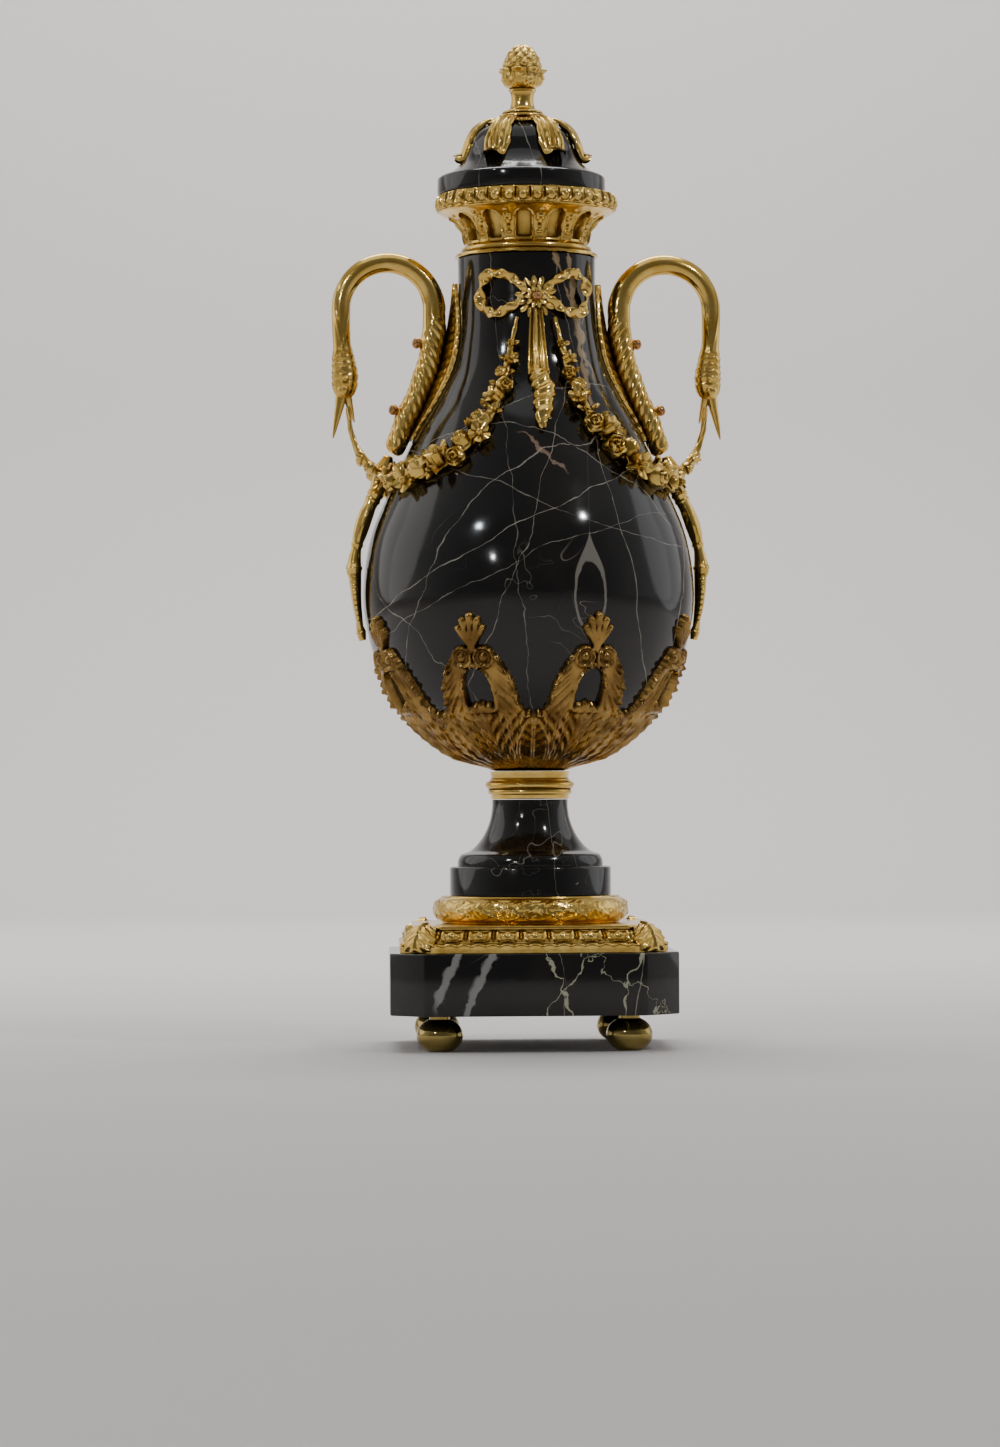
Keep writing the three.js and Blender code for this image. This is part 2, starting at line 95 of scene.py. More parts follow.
def outward(points, faces):
    """Faces turned so that the signed volume, the sum of a.(b x c) over triangles, is positive."""
    volume = 0.0
    for block in faces:
        a = points[block[:, 0]]
        for k in range(1, block.shape[1] - 1):
            volume += np.einsum("ij,ij->", a, np.cross(points[block[:, k]], points[block[:, k + 1]]))
    return points, [block[:, ::-1] for block in faces] if volume < 0 else faces


def tube(rings, ends="closed"):
    """Rings (n, m, 3), each closed on itself. The first and last ring close in a middle point, or on
    each other when ends is "loop"."""
    n, m = rings.shape[:2]
    at = np.arange(n * m).reshape(n, m)
    if ends == "loop":
        at = np.vstack([at, at[:1]])
    side = np.roll(at, -1, axis=1)
    quads = np.stack([at[:-1], side[:-1], side[1:], at[1:]], axis=-1).reshape(-1, 4)
    points = rings.reshape(-1, 3)
    if ends == "loop":
        return outward(points, [quads])
    middles = np.stack([rings[0].mean(axis=0), rings[-1].mean(axis=0)])
    first = np.stack([side[0], at[0], np.full(m, n * m)], axis=-1)
    last = np.stack([at[-1], side[-1], np.full(m, n * m + 1)], axis=-1)
    return outward(np.vstack([points, middles]), [quads, first, last])


def plate(front, back):
    """Two sheets of points (n, m, 3), joined round their edge into one thin solid."""
    return tube(np.concatenate([front, back[:, ::-1]], axis=1))


def joined(shapes):
    """All the points and faces of several shapes as one shape."""
    points, faces, count = [], [], 0
    for shape_points, shape_faces in shapes:
        points.append(shape_points)
        faces += [block + count for block in shape_faces]
        count += len(shape_points)
    return np.vstack(points), faces


def moved(shape, matrix=None, shift=(0, 0, 0)):
    """Each point p becomes matrix p + shift; a mirroring matrix turns the faces back outwards."""
    points, faces = shape
    if matrix is not None:
        points = points @ np.asarray(matrix).T
        if np.linalg.det(matrix) < 0:
            faces = [block[:, ::-1] for block in faces]
    return points + np.asarray(shift), faces


def about_z(degrees):
    """The matrix that turns points about the upright axis."""
    c, s = np.cos(np.radians(degrees)), np.sin(np.radians(degrees))
    return np.array([[c, -s, 0], [s, c, 0], [0, 0, 1]])


# %% A finished piece
def made(name, shape, slot, sharp=40, node=None):
    """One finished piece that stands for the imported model's node of its name, or for another one;
    edges sharper than an angle stay crisp."""
    points, faces = shape
    mesh = bpy.data.meshes.new(name)
    sizes = np.concatenate([np.full(len(block), block.shape[1]) for block in faces])
    corners = np.concatenate([block.reshape(-1) for block in faces]).astype(np.int32)
    mesh.vertices.add(len(points))
    mesh.vertices.foreach_set("co", (points * MILLIMETRE).astype(np.float32).reshape(-1))
    mesh.loops.add(len(corners))
    mesh.loops.foreach_set("vertex_index", corners)
    mesh.polygons.add(len(sizes))
    mesh.polygons.foreach_set("loop_start", np.concatenate([[0], np.cumsum(sizes)[:-1]]).astype(np.int32))
    mesh.polygons.foreach_set("use_smooth", np.ones(len(sizes), dtype=bool))
    mesh.update(calc_edges=True)
    mesh.validate()
    mesh.set_sharp_from_angle(angle=np.radians(sharp))
    mesh.materials.append(FINISHES[slot])
    piece = bpy.data.objects.new(name, mesh)
    bpy.context.collection.objects.link(piece)
    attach(piece, "root")
    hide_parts(node or name)
    print(f"{name}: {sum((block.shape[1] - 2) * len(block) for block in faces)} triangles")


# %% Curves and profiles
def smooth_curve(stations, count):
    """A Catmull-Rom curve through the stations, sampled at equal steps of its length."""
    p = np.asarray(stations, dtype=float)
    padded = np.vstack([p[:1], p, p[-1:]])
    t = np.linspace(0, 1, 40, endpoint=False)[:, None]
    a, b, c, d = (padded[k:len(padded) - 3 + k, None] for k in range(4))
    square, cube = 2 * a - 5 * b + 4 * c - d, 3 * b - a - 3 * c + d
    fine = 0.5 * (2 * b + (c - a) * t + square * t**2 + cube * t**3)
    fine = np.vstack([fine.reshape(-1, p.shape[1]), p[-1:]])
    length = running_length(fine)
    at = np.linspace(0, length[-1], count)
    return np.stack([np.interp(at, length, fine[:, k]) for k in range(p.shape[1])], axis=-1)


def revolve(profile, turns=192):
    """Each profile point [r, z] becomes a ring (r cos t, r sin t, z)."""
    profile = np.asarray(profile, dtype=float)
    return tube(rings_of(profile[:, :1], profile[:, 1:], circle(turns)))


def crisp(stations, fine=0.25):
    """A turned profile of straight lines whose corners are eased by a small flat on either side."""
    p = np.asarray(stations, dtype=float)
    back, on = np.roll(p, 1, axis=0) - p, np.roll(p, -1, axis=0) - p
    long_back, long_on = (np.linalg.norm(way, axis=1, keepdims=True) for way in (back, on))
    ease = np.minimum(fine, 0.3 * np.minimum(long_back, long_on))
    a, b = (p + way / np.maximum(reach, 1e-9) * ease for way, reach in ((back, long_back), (on, long_on)))
    return np.vstack([p[:1], np.stack([a, b], axis=1)[1:-1].reshape(-1, 2), p[-1:]])


def step(x, low, high):
    """0 below low, 1 above high, and a smooth S between them."""
    t = np.clip((x - low) / (high - low), 0, 1)
    return t * t * (3 - 2 * t)


def waves(x):
    """A wave from -1 to 1 that comes round again each time x grows by one."""
    return np.cos(2 * np.pi * x)


# %% [markdown]
# ## Node groups
# The veins and the hollows' patina and painted shade are used again and again. They could be copied
# into each material, but each is a group with named sockets that puts out masks and heights only, so
# that it is written once. A tree is built from small helpers, one line for each node.

# %% Helpers for nodes
class Tree:
    """A node tree with one line for each node; inputs are set by name or number, links or values."""

    def __init__(self, tree):
        self.tree = tree

    def link(self, value, socket):
        if isinstance(value, bpy.types.NodeSocket):
            self.tree.links.new(value, socket)
        else:
            socket.default_value = value

    def add(self, kind, settings=None, **inputs):
        node = self.tree.nodes.new("ShaderNode" + kind)
        for key, value in (settings or {}).items():
            setattr(node, key, value)
        for key, value in inputs.items():
            numbered = key[0] == "n" and key[1:].isdigit()
            self.link(value, node.inputs[int(key[1:]) if numbered else key.replace("_", " ")])
        return node

    def math(self, operation, a, b=0.0, c=0.0):
        return self.add("Math", {"operation": operation}, n0=a, n1=b, n2=c).outputs[0]

    def times(self, a, b):
        return self.math("MULTIPLY", a, b)

    def minus(self, a, b):
        return self.math("SUBTRACT", a, b)

    def vector(self, operation, a, b=(0, 0, 0), output=0):
        return self.add("VectorMath", {"operation": operation}, n0=a, n1=b).outputs[output]

    def ramp(self, value, low, high, to_low=0.0, to_high=1.0):
        return self.add("MapRange", {"interpolation_type": "SMOOTHSTEP"}, Value=value, From_Min=low,
                        From_Max=high, To_Min=to_low, To_Max=to_high).outputs[0]

    def noise(self, vector, scale, detail=4.0, distortion=0.0):
        return self.add("TexNoise", Vector=vector, Scale=scale, Detail=detail,
                        Distortion=distortion).outputs[0]

    def blend(self, factor, a, b):
        return self.add("Mix", {"data_type": "RGBA"}, n0=factor, n6=a, n7=b).outputs[2]


def group(name, inputs, outputs):
    """A new node group with named sockets, its tree, and the sockets inside it: given and result."""
    made_group = bpy.data.node_groups.new(name, "ShaderNodeTree")
    for label, kind, value in inputs:
        socket = made_group.interface.new_socket(label, in_out="INPUT", socket_type="NodeSocket" + kind)
        if value is not None:
            socket.default_value = value
    for label in outputs:
        made_group.interface.new_socket(label, in_out="OUTPUT", socket_type="NodeSocketFloat")
    given = made_group.nodes.new("NodeGroupInput").outputs
    result = made_group.nodes.new("NodeGroupOutput").inputs
    return made_group, Tree(made_group), given, result


def material(name):
    """A material with its tree, its Principled shader and its object coordinates."""
    finish = bpy.data.materials.new(name)
    finish.use_nodes = True
    tree = Tree(finish.node_tree)
    return finish, tree, finish.node_tree.nodes["Principled BSDF"], tree.add("TexCoord").outputs["Object"]


# %% [markdown]
# ## Black marble with cream veins
# The stone is nearly black and polished. Most of its veins are cracks that healed with calcite:
# thin, pale, broken lines that run a long way and fork. They could be painted from one noise, but
# a crack is a crumpled sheet in the block, so here each main vein is a plane, bent by noise, whose
# distance from a point gives a line wherever it meets the surface. Fine net veins come from a
# noise where it crosses its middle value.

# %% The vein groups
vein_sheet, tree, given, result = group(
    "crumpled vein sheet",
    [("Vector", "Vector", None), ("Facing", "Vector", (1, 0, 0)), ("Distance", "Float", 0),
     ("Wobble", "Float", 0.01), ("Width", "Float", 0.001), ("Scale", "Float", 20)],
    ["Mask"])
bend = tree.minus(tree.noise(given["Vector"], given["Scale"], detail=5), 0.5)
along_facing = tree.vector("DOT_PRODUCT", given["Vector"], given["Facing"], "Value")
off_sheet = tree.minus(tree.math("MULTIPLY_ADD", bend, given["Wobble"], along_facing), given["Distance"])
patchy = tree.ramp(tree.noise(given["Vector"], 90, detail=3), 0.35, 0.65, 0.2125, 1.105)
half_width = tree.times(given["Width"], patchy)
line = tree.math("DIVIDE", tree.math("ABSOLUTE", off_sheet), half_width)
tree.link(tree.ramp(line, 0.5, 1.2, 1.0, 0.0), result["Mask"])

net_veins, tree, given, result = group(
    "net of fine veins",
    [("Vector", "Vector", None), ("Scale", "Float", 12), ("Width", "Float", 0.01), ("Cover", "Float", 0.5)],
    ["Mask"])
level = tree.noise(given["Vector"], given["Scale"], detail=3, distortion=0.6)
near = tree.math("DIVIDE", tree.math("ABSOLUTE", tree.minus(level, 0.5)), given["Width"])
thread = tree.ramp(near, 0.3, 1.0, 1.0, 0.0)
spread = tree.noise(given["Vector"], 9, detail=2)
present = tree.ramp(tree.minus(given["Cover"], spread), -0.04, 0.06)
tree.link(tree.times(thread, present), result["Mask"])
print("vein groups:", vein_sheet.name, "and", net_veins.name)


# %% The marble
def use(node_group, **inputs):
    """The mask that a vein group gives in the marble."""
    return tree.add("Group", {"node_tree": node_group}, **inputs).outputs[0]


marble, tree, shader, where = material("black marble")
cloud = tree.ramp(tree.noise(where, 14, detail=5, distortion=0.8), 0.42, 0.78)
ground = tree.blend(cloud, (0.0050, 0.0045, 0.0045, 1), (0.014, 0.011, 0.009, 1))
fine = use(net_veins, Vector=where, Scale=15.0, Width=0.0024, Cover=0.44)
finest = use(net_veins, Vector=where, Scale=36.0, Width=0.0045, Cover=0.40)
colour = tree.blend(tree.times(finest, 0.28), ground, (0.24, 0.21, 0.17, 1))
colour = tree.blend(tree.times(fine, 0.50), colour, (0.34, 0.30, 0.24, 1))

# Facing, distance, wobble, half width and strength of each main sheet, in metres.
main_veins = [
    ((-0.478, 0.05, 0.877), 0.286, 0.016, 0.00040, 0.60),
    ((-0.40, 0.12, 0.91), 0.268, 0.020, 0.00030, 0.42),
    ((0.34, -0.10, 0.935), 0.330, 0.014, 0.00032, 0.45),
    ((0.985, 0.10, -0.14), 0.048, 0.014, 0.00045, 0.50),
    ((0.97, 0.15, 0.19), 0.103, 0.014, 0.00036, 0.45),
    ((0.99, -0.05, 0.10), 0.026, 0.022, 0.00030, 0.32),
    ((-0.36, 0.35, 0.865), 0.331, 0.018, 0.00036, 0.55),
    ((0.90, 0.25, -0.36), -0.142, 0.018, 0.00034, 0.50),
    ((0.22, 0.72, 0.66), 0.205, 0.030, 0.00045, 0.50),
    ((-0.5, 0.75, 0.43), 0.098, 0.030, 0.00045, 0.55),
    ((0.7, -0.3, 0.64), 0.135, 0.030, 0.00040, 0.50),
]
for facing, distance, wobble, width, strength in main_veins:
    mask = use(vein_sheet, Vector=where, Facing=facing, Distance=distance, Wobble=wobble, Width=width)
    colour = tree.blend(tree.times(mask, strength), colour, (0.47, 0.43, 0.36, 1))


def ball_mask(centre, reach):
    """1 inside a soft ball round a place in the block, 0 outside, so that a vein keeps to its patch."""
    return tree.ramp(tree.vector("DISTANCE", where, centre, "Value"), reach * 0.75, reach, 1.0, 0.0)


# Facing, distance, wobble, half width, scale, place and reach, strength and colour of the broad veins.
TAN, GREY = (0.36, 0.26, 0.14, 1), (0.30, 0.30, 0.29, 1)
SAGE, PINK = (0.46, 0.47, 0.32, 1), (0.42, 0.28, 0.19, 1)
broad_veins = [
    ((0.995, 0.0, 0.1), 0.0755, 0.016, 0.0030, 32, (0.030, -0.035, 0.448), 0.066, 0.80, TAN),
    ((0.96, 0.0, 0.28), 0.1570, 0.016, 0.0012, 50, (0.030, -0.035, 0.462), 0.050, 0.70, TAN),
    ((0.91, 0.0, -0.41), -0.0690, 0.010, 0.0040, 30, (-0.035, -0.088, 0.045), 0.036, 0.75, GREY),
    ((0.91, 0.0, -0.41), -0.0490, 0.010, 0.0040, 30, (-0.025, -0.088, 0.045), 0.036, 0.75, GREY),
    ((0.75, 0.0, -0.66), -0.0120, 0.030, 0.0008, 60, (0.040, -0.085, 0.043), 0.050, 0.75, SAGE),
    ((0.95, 0.1, 0.30), 0.0190, 0.034, 0.0014, 55, (0.022, -0.085, 0.043), 0.034, 0.80, SAGE),
    ((0.60, 0.1, 0.80), 0.0600, 0.036, 0.0007, 70, (0.045, -0.085, 0.043), 0.050, 0.70, SAGE),
    ((0.98, 0.0, -0.2), 0.0500, 0.022, 0.0012, 50, (0.060, -0.085, 0.043), 0.030, 0.75, SAGE),
    ((0.66, 0.0, 0.75), 0.2830, 0.022, 0.0014, 70, (0.004, -0.090, 0.372), 0.026, 0.50, PINK),
]
for facing, distance, wobble, width, scale, place, reach, strength, tint in broad_veins:
    mask = use(vein_sheet, Vector=where, Facing=facing, Distance=distance, Wobble=wobble, Width=width,
               Scale=float(scale))
    mask = tree.times(tree.times(mask, ball_mask(place, reach)), strength)
    colour = tree.blend(mask, colour, tint)

# A painted reflection: a pale closed line like the eye of a needle, the shell of a tall ellipsoid
# drawn to a peak, which runs up toward the highlight on the belly.
EYE_AT, EYE_REACH, EYE_SIZE = (0.0345, -0.100, 0.283), (1 / 0.0076, 1 / 0.060, 1 / 0.0175), 1.25
from_eye = tree.vector("MULTIPLY", tree.vector("SUBTRACT", where, EYE_AT), EYE_REACH)
eye_parts = tree.add("SeparateXYZ", Vector=from_eye).outputs
waver = tree.minus(tree.noise(where, 55, detail=3), 0.5)
round_eye = tree.math("MULTIPLY_ADD", waver, 0.5, tree.vector("LENGTH", from_eye, output="Value"))
off_shell = tree.math("DIVIDE", tree.math("ABSOLUTE", tree.minus(round_eye, EYE_SIZE)),
                      tree.ramp(eye_parts["Z"], 0.2, 1.3, 0.11, 0.16))
peak_half = tree.ramp(eye_parts["Z"], 0.5, 2.3, EYE_SIZE, 0.0)
past_peak = tree.minus(tree.math("ABSOLUTE", eye_parts["X"]), peak_half)
peak = tree.times(tree.ramp(past_peak, -0.06, 0.04, 1.0, 0.0), tree.ramp(round_eye, 1.15, EYE_SIZE, 0.0, 1.0))
peak = tree.times(peak, tree.ramp(eye_parts["Z"], 0.3, 0.5, 0.0, 1.0))
teardrop_reflection = tree.times(tree.math("MAXIMUM", peak, tree.ramp(off_shell, 0.6, 1.1, 1.0, 0.0)), 0.52)
# The painted reflection is mixed into the stone's colour as a pale grey.
colour = tree.blend(teardrop_reflection, colour, (0.33, 0.31, 0.27, 1))

tree.link(colour, shader.inputs["Base Color"])
tree.link(tree.ramp(tree.noise(where, 60), 0.3, 0.7, 0.07, 0.13), shader.inputs["Roughness"])
shader.inputs["IOR"].default_value = 1.5
ripple = tree.add("Bump", Strength=0.05, Distance=0.0004, Height=tree.noise(where, 220, detail=2))
tree.link(ripple.outputs[0], shader.inputs["Normal"])
print("marble:", len(main_veins), "main veins and", len(broad_veins), "broad ones")

# %% [markdown]
# ## Gilt bronze
# Fire-gilt castings are matt where the chaser left them matt, burnished on their high points, and
# brown where wax and dust stay in the hollows. Here the dark tone in the hollows is that brown and
# painted shade as well: it is made deep enough to stand in for the shade that falls in recesses. It
# could be painted in by hand, but it would have to be painted again whenever a shape changes. The
# hollows are found with ambient occlusion, so the tone follows whatever is modelled. One group finds
# them, and each gilt material mixes its own colours by it.

# %% The gilding group and the metals
patina_and_shade, tree, given, result = group(
    "toning in the hollows",
    [("Vector", "Vector", None), ("Reach", "Float", 0.007), ("Grain", "Float", 400)],
    ["Hollow", "Patch", "Height"])
open_sky = tree.add("AmbientOcclusion", {"samples": 6, "only_local": True}, Distance=given["Reach"])
# Hollow is patina and painted shade: it is 1 where ambient occlusion finds a recess, and the gilding darkens
# its colour there.
tree.link(tree.ramp(open_sky.outputs["AO"], 0.35, 0.90, 1.0, 0.0), result["Hollow"])
patch = tree.ramp(tree.noise(given["Vector"], 70, detail=4, distortion=0.4), 0.32, 0.7)
tree.link(patch, result["Patch"])
chased = tree.noise(given["Vector"], given["Grain"], detail=3)
tree.link(chased, result["Height"])


def gilding(name, bright, deep, hollow, smoothest, roughest, relief, reach=0.007):
    """A metal with a bright and a deep tone in patches, and a darker one in its hollows that is patina and
    painted shade.
    """
    finish, tree, shader, where = material(name)
    tone = tree.add("Group", {"node_tree": patina_and_shade}, Vector=where, Reach=reach)
    colour = tree.blend(tone.outputs["Patch"], bright, deep)
    # Patina and painted shade: the hollow colour is mixed in wherever the Hollow mask finds a recess.
    colour = tree.blend(tone.outputs["Hollow"], colour, hollow)
    tree.link(colour, shader.inputs["Base Color"])
    wear = tree.math("MULTIPLY_ADD", tone.outputs["Patch"], 0.4, tone.outputs["Hollow"])
    tree.link(tree.ramp(wear, 0.0, 1.2, smoothest, roughest), shader.inputs["Roughness"])
    bump = tree.add("Bump", Strength=relief, Distance=0.0006, Height=tone.outputs["Height"])
    tree.link(bump.outputs[0], shader.inputs["Normal"])
    shader.inputs["Metallic"].default_value = 1.0
    return finish


# The gilt's longer reach darkens the rim's flutes and niches more deeply: painted shade.
gilt = gilding("gilt bronze", (0.83, 0.58, 0.17, 1), (0.66, 0.42, 0.09, 1), (0.11, 0.052, 0.010, 1),
               0.15, 0.40, 0.08, reach=0.010)
toned_gilt = gilding("toned gilt bronze", (0.43, 0.265, 0.078, 1), (0.19, 0.105, 0.03, 1),
                     (0.024, 0.012, 0.004, 1), 0.24, 0.5, 0.12)
foot_brass = gilding("polished brass", (0.44, 0.34, 0.12, 1), (0.34, 0.26, 0.08, 1), (0.10, 0.07, 0.02, 1),
                     0.10, 0.26, 0.04)
copper = gilding("coppery screw heads", (0.46, 0.25, 0.11, 1), (0.32, 0.16, 0.07, 1),
                 (0.10, 0.045, 0.02, 1), 0.22, 0.4, 0.06)
FINISHES = {"black_marble": marble, "gilt_bronze": gilt, "toned_gilt_bronze": toned_gilt,
            "polished_brass": foot_brass, "copper": copper}
print("finishes:", ", ".join(finish.name for finish in FINISHES.values()))

# %% [markdown]
# ## The marble: plinth, socle, vase and lid
# The plinth is a square block whose corners are cut off at 45 degrees and whose edges are eased. It
# could be a cube with a bevel, but a stack of outlines keeps the cut corners and the eased arrises
# exact. The other three are turned on a lathe, and so are the four brass feet, so each is a profile
# carried round the axis. The vase and the lid are hollow, with the walls that were bored into them.

# %% The plinth and its four bun feet
def canted_square(width, cant):
    """The outline of a square with its corners cut at 45 degrees, as eight plan points."""
    h, s = width / 2, width / 2 - cant
    return np.array([[-s, -h], [s, -h], [h, -s], [h, s], [s, h], [-s, h], [-h, s], [-h, -s]])


def eased_outline(width, cant, ease=1.0):
    """The canted square with each of its corners rounded by three short steps."""
    p = canted_square(width, cant)
    back, on = unit(np.roll(p, 1, axis=0) - p), unit(np.roll(p, -1, axis=0) - p)
    w = np.array([0, 0.5, 1])[:, None, None]
    curve = p + (1 - w) ** 2 * back * ease + w**2 * on * ease
    return curve.transpose(1, 0, 2).reshape(-1, 2)


PLINTH_BOTTOM, PLINTH_TOP, PLINTH_WIDTH, PLINTH_CANT = 22.8, 61.3, 179.5, 21.3
ARRIS = 0.9
turn = np.linspace(0, np.pi / 2, 5)
inset, rise = ARRIS * (1 - np.sin(turn)), ARRIS * (1 - np.cos(turn))
levels = np.concatenate([PLINTH_BOTTOM + rise, PLINTH_TOP - rise[::-1]])
insets = np.concatenate([inset, inset[::-1]])
rings = [np.insert(eased_outline(PLINTH_WIDTH - 2 * i, PLINTH_CANT - 0.6 * i), 2, z, axis=1)
         for i, z in zip(insets, levels)]
made("plinth", tube(np.stack(rings)), "black_marble")

FOOT_SPREAD, FOOT_RADIUS, FOOT_MIDDLE, NECK_RADIUS, NECK_TOP = 59, 14.5, 10, 6.5, 22.4
lean = np.linspace(-1.12, 1.12, 33)
bun = np.column_stack([FOOT_RADIUS * np.cos(lean) ** 0.92, FOOT_MIDDLE + 11.1 * np.sin(lean)])
bun = bun[(bun[:, 1] > 0) & (bun[:, 1] < 20) & (bun[:, 0] > 6.4)]
bun = np.vstack([[[0, 0], [6, 0]], bun, [[NECK_RADIUS, 19.9], [NECK_RADIUS, NECK_TOP], [0, NECK_TOP]]])
for end, y in (("front", -FOOT_SPREAD), ("back", FOOT_SPREAD)):
    for side, x in (("left", -FOOT_SPREAD), ("right", FOOT_SPREAD)):
        foot = moved(revolve(bun, 64), shift=(x, y, 0))
        made(f"bun_foot_{end}_{side}", foot, "polished_brass", node=f"foot_{end}_{side}")

# %% The socle and the hollow vase
socle = crisp([[0, 95.7], [51.2, 95.7], [51.2, 112.9], [50.4, 113.8], [46.2, 114.2]], 0.4)
cove = smooth_curve([[46.2, 114.2], [46.0, 117.5], [44.2, 121.2], [41.2, 122.6], [38.0, 124.0], [33.7, 127.9],
                     [29.4, 133.8], [25.8, 142], [24.2, 150], [24.0, 156.2]], 60)
made("socle", revolve(np.vstack([socle[:-1], cove, [[0, 156.2]]])), "black_marble")

BODY_OUTLINE = smooth_curve([
    [22, 174.4], [53.5, 189], [80, 212], [93.8, 235], [102.4, 263], [104.95, 290], [100.3, 322],
    [88.4, 352], [69.6, 392], [58.8, 412], [50, 432], [45.2, 455], [43.7, 480], [43.7, 498.6]], 150)
HOLLOW = smooth_curve([
    [34, 498.5], [33.6, 480], [36, 450], [43, 422], [60, 390], [79, 352], [91, 322], [95.5, 290], [93, 263],
    [84, 238], [70, 218], [45, 199], [14, 188]], 50)


def body_radius(z):
    """The radius of the vase's skin at a height."""
    return np.interp(z, BODY_OUTLINE[:, 1], BODY_OUTLINE[:, 0])


lip = [[43.7, 499.3], [43.2, 499.8], [34.6, 499.8], [34, 499.2]]
vase = np.vstack([[[0, 174.4]], BODY_OUTLINE, lip, HOLLOW, [[0, 186.5]]])
made("vase", revolve(vase, 180), "black_marble", node="body")

# %% The lid, hollow underneath, with the lip that drops into the rim
LID_SLIDE, CROWN_SLIDE = -3.0, -1.9
bell = smooth_curve([[47.6, 553.1], [42.8, 556.6], [38.4, 560.6], [35.5, 565.4], [31.8, 575], [27.5, 581],
                     [20, 585.0], [10, 586.4]], 60)
band = crisp([[47.6, 553.0], [51.4, 552.3], [53.2, 550.9], [53.4, 550], [53.4, 541.0], [52.8, 540.3],
              [42.6, 540.3], [42, 534.5], [34, 534.5]], 0.3)
under = smooth_curve([[34, 534.5], [31, 552], [24, 564], [12, 572.5], [0.2, 575]], 30)
lid = np.vstack([[[0, 586.4]], bell[::-1], band[:-1], under, [[0, 575]]])
made("lid", moved(revolve(lid), shift=(LID_SLIDE, 0, 0)), "black_marble")


# %% [markdown]
# ## Mouldings with a pattern
# The rim, the square mount, the laurel ring and the cup were cast with their eggs and leaves
# already on them. They could be hundreds of small objects, but a casting has one skin, so each is
# one grid whose points stand out from a plain moulding by a relief: a height worked out for every
# point from its place along the band and across it.

# %% Helpers for relief
def dome(x, y, wide, high):
    """A rounded boss: sqrt(1 - (x/wide)^2 - (y/high)^2), and 0 outside it."""
    return np.sqrt(np.clip(1 - (x / wide) ** 2 - (y / high) ** 2, 0, None))


def rib(distance, width):
    """A raised line: 1 at distance 0, falling to 0 at half the width either side."""
    return np.clip(1 - (2 * distance / width) ** 2, 0, None)


def leaf_relief(x, y, length, wide, ribs):
    """A leaf from y = 0 to its tip at y = length: its width goes as sin, it is highest near the
    midrib, and side veins slant towards the tip."""
    s = np.clip(y / length, 0, 1)
    t = np.abs(x) / (wide * np.sin(np.pi * s**0.75) ** 0.8 + 1e-6)
    inside = np.clip(1.15 - t, 0, 1) * (y > 0) * (y < length)
    veins = 0.5 + 0.5 * waves(ribs * s - 0.8 * t)
    height = (1 - 0.5 * t**2) * (0.8 + 0.2 * veins) + 0.25 * rib(x, 0.16 * wide + 0.4)
    return np.where(t < 1, height, 0) * step(inside, 0, 0.2)


def egg(x, y, wide, high):
    """An egg with a small three-lobed flower on it, in a raised frame that is open at the top."""
    body = dome(x, y, 0.60 * wide, 0.74 * high)
    flower = np.maximum.reduce([dome(x - at * wide, y - up * high, 0.24 * wide, 0.3 * high)
                                for at, up in ((0, 0.30), (0.28, -0.10), (-0.28, -0.10))]
                               + [0.8 * dome(x, y + 0.48 * high, 0.2 * wide, 0.2 * high)])
    from_middle = (np.abs(x / wide) ** 3 + np.abs(np.minimum(y, 0) / high) ** 3) ** (1 / 3)
    return 1.15 * body + 0.75 * flower + 1.25 * rib(from_middle - 0.86, 0.24)


# %% The square mount
BASE_WIDTH, BASE_CANT = 166.6, 21.6
ovolo = np.linspace(0, np.pi / 2, 24)
base_profile = np.vstack([
    [[0.0, 61.6]], np.column_stack([np.zeros(6), np.linspace(62.0, 65.6, 6)]),
    np.column_stack([np.linspace(0.1, 1.3, 8), np.linspace(65.9, 67.0, 8)]), [[3.2, 67.3]],
    np.column_stack([8.4 - 5.2 * np.cos(ovolo), 67.5 + 7.6 * np.sin(ovolo)]),
    [[8.6, 75.3], [8.3, 75.6], [8.1, 76.4], [8.1, 77.4], [8.5, 77.9], [9.1, 78.2], [25, 78.2], [60, 78.2]]])
along_band = running_length(base_profile)
SIDE_STEPS, CANT_STEPS, EGGS_A_SIDE = 126, 14, 7
FILLET_AT, OVOLO_STARTS = 11, 16   # places in the profile


